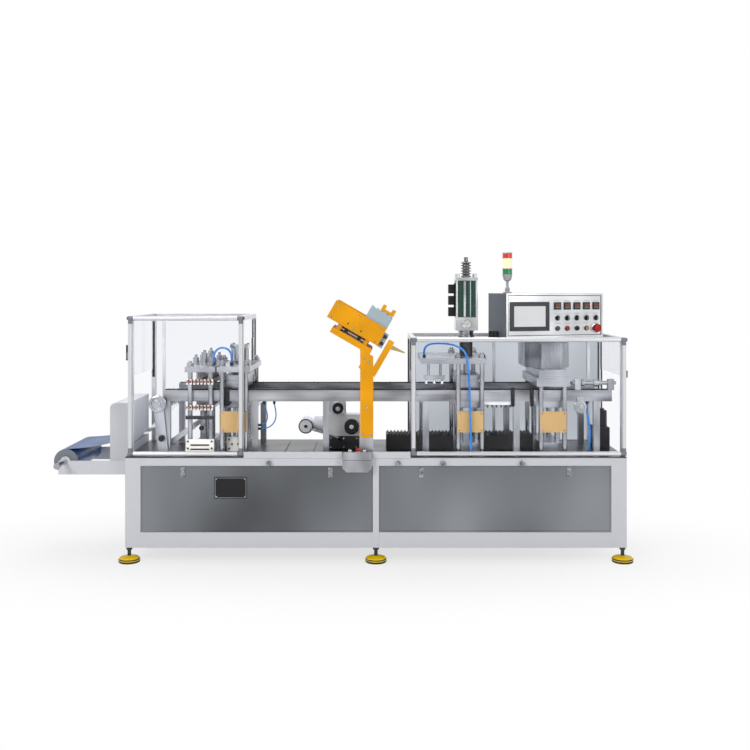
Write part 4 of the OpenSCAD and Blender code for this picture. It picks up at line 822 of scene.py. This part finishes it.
# Control box. A folded box, turned a little, with a brushed front behind a bright rim: a screen
# in a dark bezel, five digital meters, five selector switches, four push buttons and a red mushroom
# stop. Its dark slate body colour is a painted reflection, standing for the dark its sides reflect.
# The hood beside it, over the cutting head, is brushed sheet as well.
# The box front carries a painted sheen: broad soft highlights and shade painted into the colour.
box_sheet = finish("box_sheet", (0.77, 0.78, 0.80), 0.30, slot="brushed_sheet", metallic=0.75,
                   stretch=(4.0, 4.0, 420.0), depth=0.14, cloud_and_painted_sheen=((3.0, 3.0, 4.0), 1.0), spread=0.10,
                   bump=0.00003, bare=(0.75, 0.75, 0.77), radius=0.003, wear=0.4)
# The dark slate body colour is a painted reflection: it stands for the dark that the box's sides reflect.
box_painted_reflection = finish("box_painted_reflection", (0.135, 0.155, 0.185), 0.42, scale=8.0, depth=0.1, bump=0.0002,
                   bare=(0.4, 0.42, 0.45), radius=0.003, wear=0.5)
dark_bezel = finish("dark_bezel", (0.035, 0.037, 0.042), 0.35, scale=30.0, depth=0.2, bump=0.0001,
                    bare=(0.12, 0.12, 0.13), wear=0.4)
dress(box_painted_reflection, "control_box")
# The hood carries a strong painted sheen: broad soft highlights and shade painted into the colour.
hood_sheet = finish("hood_sheet", (0.34, 0.35, 0.38), 0.28, metallic=0.9, stretch=(300.0, 300.0, 3.0),
                    depth=0.16, cloud_and_painted_sheen=((7.0, 7.0, 5.0), 2.4), bump=0.00003, bare=(0.75, 0.75, 0.77),
                    radius=0.003, wear=0.4)
dress(hood_sheet, "cut_cover")
dress(dark_bezel, "control_screen")
dress(black_plastic, "control_switches")
box_angle = np.radians(18)
box_turn = ((np.cos(box_angle), -np.sin(box_angle), 0), (np.sin(box_angle), np.cos(box_angle), 0),
            (0, 0, 1))
box_place = (872, -190, 1452.5)


def on_front(name, shape, spots, material):
    """A row of one shape on the box front: its spots are across, out and up from the box corner."""
    laid = lay(shape, spots, "front")
    return add_piece(name, [carried(laid, box_place, box_turn)], material)


on_front("box_rim", border(735, 300, 13, 2.5, 0.8), [(367.5, 0, 150)], box_sheet)
on_front("box_front", slab(700, 266, 1.2, 3, 0.4), [(367.5, 4, 150)], box_sheet)


def lit_finish(name, color, strength):
    """Glossy dark cover lit from behind: a mottled glow of one colour under a clear skin."""
    material = finish(name, (0.02, 0.02, 0.02), 0.15, "dark_bezel", scale=9.0, wear=0.0,
                      Emission_Strength=strength)
    tree = material.node_tree
    spots = add_node(tree, "Group", {"Scale": 9.0}, node_tree=mottle)
    glow = add_node(tree, "Mix", {"Factor": spots.outputs["Mask"], "A": (*(0.85 * np.array(color)), 1.0),
                                  "B": (*color, 1.0)}, data_type="RGBA")
    feed(tree, tree.nodes["Principled BSDF"], {"Emission Color": glow.outputs["Result"]})
    return material


screen_glow = lit_finish("screen_glow", (0.70, 0.71, 0.73), 1.0)
on_front("screen_glass", slab(234, 138, 1.6, 3, 0.4), [(174, -3, 144)], screen_glow)
switch_x = 384 + 74 * np.arange(5)
meter_z, knob_z, button_z, front_skin = 214.0, 132.0, 61.0, 2.8
on_front("meter_faces", slab(42, 42, 1.2, 3, 0.4), [(x, -6, meter_z) for x in switch_x], dark_bezel)
digit = slab(4.4, 8, 0.5, 1, 0.15, 2)
digit_steps = np.array((-12.5, -4.2, 4.2, 12.5))
red_glow = lit_finish("red_glow", (0.75, 0.03, 0.02), 0.8)
green_glow = lit_finish("green_glow", (0.30, 0.50, 0.05), 0.7)
for meter_name, rise, glow in (("meter_upper", 8, red_glow), ("meter_lower", -9, green_glow)):
    on_front(meter_name, digit, [(x + s, -7.2, meter_z + rise) for x in switch_x for s in digit_steps],
             glow)
name_strip = finish("name_strip", (0.72, 0.73, 0.74), 0.5, slot="cream_plate", scale=20.0, depth=0.06,
                    wear=0.0)
strip_rows = [(x, front_skin, z) for x in switch_x for z in (meter_z + 36, knob_z + 28, button_z + 36)]
on_front("blank_strips", slab(38, 8, 0.6, 1, 0.2, 2), strip_rows, name_strip)
on_front("selector_marks", slab(2.4, 24, 0.5, 0.5, 0.1, 2), [(x, -20, knob_z) for x in switch_x],
         name_strip)
on_front("selector_rings", turned([(20.5, 0), (20.5, 2), (19, 3.2), (1, 3.2)], 28),
         [(x, front_skin, knob_z) for x in switch_x], bright_metal)
button_rings = [(x, front_skin, button_z) for x in switch_x[:4]]
on_front("button_rings", turned([(19, 0), (19, 3), (17.5, 5), (1, 5)], 28), button_rings, bright_metal)
button_cap = turned([(12.5, -0.5), (12.5, 3), (11.2, 4.4), (6, 5.2), (1, 5.4)], 24)
green_cap = finish("green_cap", (0.004, 0.055, 0.025), 0.3, slot="black_plastic", scale=20.0,
                   depth=0.1, wear=0.0, Coat_Weight=0.4)
yellow_cap = finish("yellow_cap", (0.46, 0.28, 0.02), 0.3, slot="black_plastic", scale=20.0, depth=0.1,
                    wear=0.0, Coat_Weight=0.4)
cap_colors = (("green", green_cap), ("red", red_cap), ("black", black_plastic), ("yellow", yellow_cap))
for x, (color_name, cap_finish) in zip(switch_x, cap_colors):
    on_front("button_" + color_name, button_cap, [(x, -12, button_z)], cap_finish)
stop_cap = turned([(27.6, -0.5), (28.2, 2), (28.2, 9), (26.5, 13.5), (20, 17), (10, 18.6), (1, 19)], 36)
on_front("stop_button", stop_cap, [(switch_x[4], -13, button_z)], red_cap)
stop_plate = turned([(33, 0), (33, 1.4), (32, 2), (1, 2)], 36)
on_front("stop_plate", stop_plate, [(switch_x[4], front_skin, button_z)], bright_metal)

# Signal tower. Stacked ribbed lenses on a pale moulded stem: green below, the lit warm one in the
# middle and red on top.
tower_grey = finish("tower_grey", (0.46, 0.47, 0.48), 0.4, scale=20.0, depth=0.08, bump=0.0001, wear=0.3)
dress(tower_grey, "tower_stem")


def banded(tree, low, high, stops):
    """Colours laid in sharp bands up the height from low to high, each from its given share on."""
    split = add_node(tree, "SeparateXYZ", {"Vector": object_place(tree)})
    share = add_node(tree, "MapRange", {"Value": split.outputs["Z"], "From Min": low, "From Max": high})
    ramp = add_node(tree, "ValToRGB", {"Fac": share.outputs["Result"]})
    ramp.color_ramp.interpolation = "CONSTANT"
    for spot, color in stops[1:]:
        ramp.color_ramp.elements.new(spot).color = (*color, 1.0)
    ramp.color_ramp.elements[0].color = (*stops[0][1], 1.0)
    ramp.color_ramp.elements.remove(ramp.color_ramp.elements[-1])
    return ramp.outputs["Color"]


def placed_group(material, group):
    """The node of a finish that holds the given group."""
    return next(node for node in material.node_tree.nodes
                if node.type == "GROUP" and node.node_tree == group)


lamp_lens = finish("lamp_lens", (0.9, 0.3, 0.2), 0.2, wear=0.0, Coat_Weight=0.4, Coat_Roughness=0.08,
                   Emission_Strength=1.0)
lens_tree = lamp_lens.node_tree
lens_low, lens_high, warm_from, red_from = 1.8825, 2.0245, 0.268, 0.775
lens_color = banded(lens_tree, lens_low, lens_high, [
    (0, (0.01, 0.20, 0.08)), (warm_from, (0.80, 0.66, 0.42)), (red_from, (0.60, 0.03, 0.015))])
# The warm band glows as the lit lamp; the faint glow of the green and red bands is painted light, as those
# lamps are not lit.
lit_and_painted_lens_glow = banded(lens_tree, lens_low, lens_high, [
    (0, (0.0, 0.06, 0.02)), (warm_from, (0.55, 0.46, 0.30)), (red_from, (0.20, 0.008, 0.004))])
feed(lens_tree, placed_group(lamp_lens, mottle), {"Color": lens_color})
feed(lens_tree, lens_tree.nodes["Principled BSDF"], {"Emission Color": lit_and_painted_lens_glow})
dress(lamp_lens, "tower_lamps")
tower_place = np.array(((75.0, 140.0, 300.0),)) @ np.array(box_turn).T + box_place
rib_z = np.concatenate([np.arange(low + 4, high, 8.0) for low,
                        high in ((130, 166), (170, 238), (242, 272))])
rib_spots = tower_place + np.stack((0 * rib_z, 0 * rib_z, rib_z), -1)
add_row("lens_ribs", turned([(30, -1.6), (31.6, -1.2), (32.4, 0), (31.6, 1.2), (30, 1.6)], 32,
                            ring=True), rib_spots, "up", lamp_lens)

# Film reel. A roll of dark blue plastic film on a turned steel shaft, clamped by two cone rings. Its
# ends show the wound edges as fine rings, and the web runs from its top into the infeed cover.
# The roll carries a painted sheen: broad soft light and shade painted into the colour.
blue_film = finish("blue_film", (0.030, 0.095, 0.27), 0.36, scale=10.0, depth=0.2, wear=0.0,
                   cloud_and_painted_sheen=((9.0, 5.0, 9.0), 2.0), Specular_IOR_Level=0.3)
roll_axis = (base_middle[0] - 2.045, 0.0, 0.645)


def wound_ends(material):
    """Wound edges on the faces that look along the shaft: rings by distance from the shaft."""
    tree = material.node_tree
    place = add_node(tree, "TexCoord", {})
    from_axis = add_node(tree, "VectorMath", {0: place.outputs["Object"], 1: roll_axis},
                         operation="SUBTRACT")
    flat = add_node(tree, "VectorMath", {0: from_axis.outputs["Vector"], 1: (1.0, 0.0, 1.0)},
                    operation="MULTIPLY")
    reach = add_node(tree, "VectorMath", {0: flat.outputs["Vector"]}, operation="LENGTH")
    winding = add_node(tree, "TexNoise", {"W": reach.outputs["Value"], "Scale": 420.0, "Detail": 3.0},
                       noise_dimensions="1D")
    edge = shade_by(tree, (0.22, 0.24, 0.27, 1.0), winding.outputs["Fac"], 0.9)
    side = add_node(tree, "SeparateXYZ", {"Vector": place.outputs["Normal"]})
    on_end = math_node(tree, "GREATER_THAN", math_node(tree, "ABSOLUTE", side.outputs["Y"], 0.0), 0.7)
    skin = placed_group(material, mottle)
    blend = add_node(tree, "Mix", {"Factor": on_end, "A": skin.outputs["Color"], "B": edge},
                     data_type="RGBA")
    feed(tree, placed_group(material, edge_wear), {"Color": blend.outputs["Result"]})


wound_ends(blue_film)
dress(bright_metal, "reel_shaft")
dress(blue_film, "film_roll")
web_half, web_x = 278.0, np.linspace(-2045, -1750, 30)
web_share = (web_x - web_x[0]) / (web_x[-1] - web_x[0])
web_z = 725.6 + 40 * web_share ** 1.5 - 6 * np.sin(np.pi * web_share) * web_share
roll_web = add_piece("roll_web", [thin_web(web_x, web_z, web_half, 10)], blue_film)

# Floor and light. A plain pale floor under a white studio, one large soft lamp on each side in
# front and one above.
floor_mesh = bpy.data.meshes.new("floor")
floor_mesh.from_pydata([(-30, -30, 0), (30, -30, 0), (30, 30, 0), (-30, 30, 0)], [], [(0, 1, 2, 3)])
floor = bpy.data.objects.new("floor", floor_mesh)
bpy.context.scene.collection.objects.link(floor)


def seen_white(tree, mirrored=1.0):
    """One for a ray that the camera or a clear sheet sends, the mirrored share for one that a
    shiny surface sends, and nothing for the rest."""
    ray = add_node(tree, "LightPath", {}).outputs
    shiny = math_node(tree, "MULTIPLY", ray["Is Glossy Ray"], mirrored)
    either = math_node(tree, "MAXIMUM", ray["Is Camera Ray"], shiny)
    return math_node(tree, "MAXIMUM", either, ray["Is Transmission Ray"])


def floor_finish():
    """Pale matt floor: near the machine it takes the light and its shadow, and with distance it
    goes over to plain white for the camera, mirrors and clear sheet."""
    material = finish("floor_paint", (0.86, 0.86, 0.86), 0.9, scale=1.0, depth=0.01, wear=0.0)
    tree = material.node_tree
    squeeze = add_node(tree, "Mapping", {"Vector": object_place(tree), "Scale": (0.5, 1.0, 1.0)})
    reach = add_node(tree, "VectorMath", {0: squeeze.outputs["Vector"]}, operation="LENGTH")
    fade = add_node(tree, "MapRange", {"Value": reach.outputs["Value"], "From Min": 0.5, "From Max": 1.7,
                                       "To Min": 0.7, "To Max": 1.0}, interpolation_type="SMOOTHSTEP")
    glow = add_node(tree, "Emission", {})
    white = math_node(tree, "MULTIPLY", fade.outputs["Result"], seen_white(tree))
    blend = add_node(tree, "MixShader", {"Fac": white, 1: tree.nodes["Principled BSDF"].outputs["BSDF"],
                                         2: glow.outputs["Emission"]})
    feed(tree, tree.nodes["Material Output"], {"Surface": blend.outputs["Shader"]})
    return material


floor_mesh.materials.append(floor_finish())
world = bpy.data.worlds.new("studio")
world.use_nodes = True
bpy.context.scene.world = world
sky = world.node_tree
way = add_node(sky, "SeparateXYZ", {"Vector": add_node(sky, "TexCoord", {}).outputs["Generated"]})
room = add_node(sky, "MapRange",
                {"Value": way.outputs["Y"], "From Min": -1.0, "From Max": 0.1, "To Min": 0.2},
                interpolation_type="SMOOTHSTEP")
level = math_node(sky, "MULTIPLY_ADD", seen_white(sky, room.outputs["Result"]), 0.65, 0.35)
feed(sky, sky.nodes["Background"], {"Color": (1.0, 1.0, 1.0, 1.0), "Strength": level})


def add_lamp(name, place, aim, side, power):
    """A square soft lamp of the given side, turned to face the aim."""
    data = bpy.data.lights.new(name, "AREA")
    data.shape = "SQUARE"
    data.size = side
    data.energy = power
    lamp = bpy.data.objects.new(name, data)
    lamp.location = place
    way = np.array(place) - np.array(aim)
    lamp.rotation_euler = (math.atan2(math.hypot(way[0], way[1]), way[2]), 0.0,
                           math.atan2(way[1], way[0]) + math.pi / 2)
    bpy.context.scene.collection.objects.link(lamp)


add_lamp("key", (-3.4, -5.2, 4.2), (0.2, 0.0, 0.9), 2.4, 150.0)
add_lamp("fill", (4.2, -4.8, 3.0), (0.2, 0.0, 0.9), 2.4, 80.0)
add_lamp("top", (0.2, 1.0, 5.2), (0.2, 0.0, 0.9), 3.0, 110.0)
bpy.context.scene.view_settings.view_transform = "Standard"
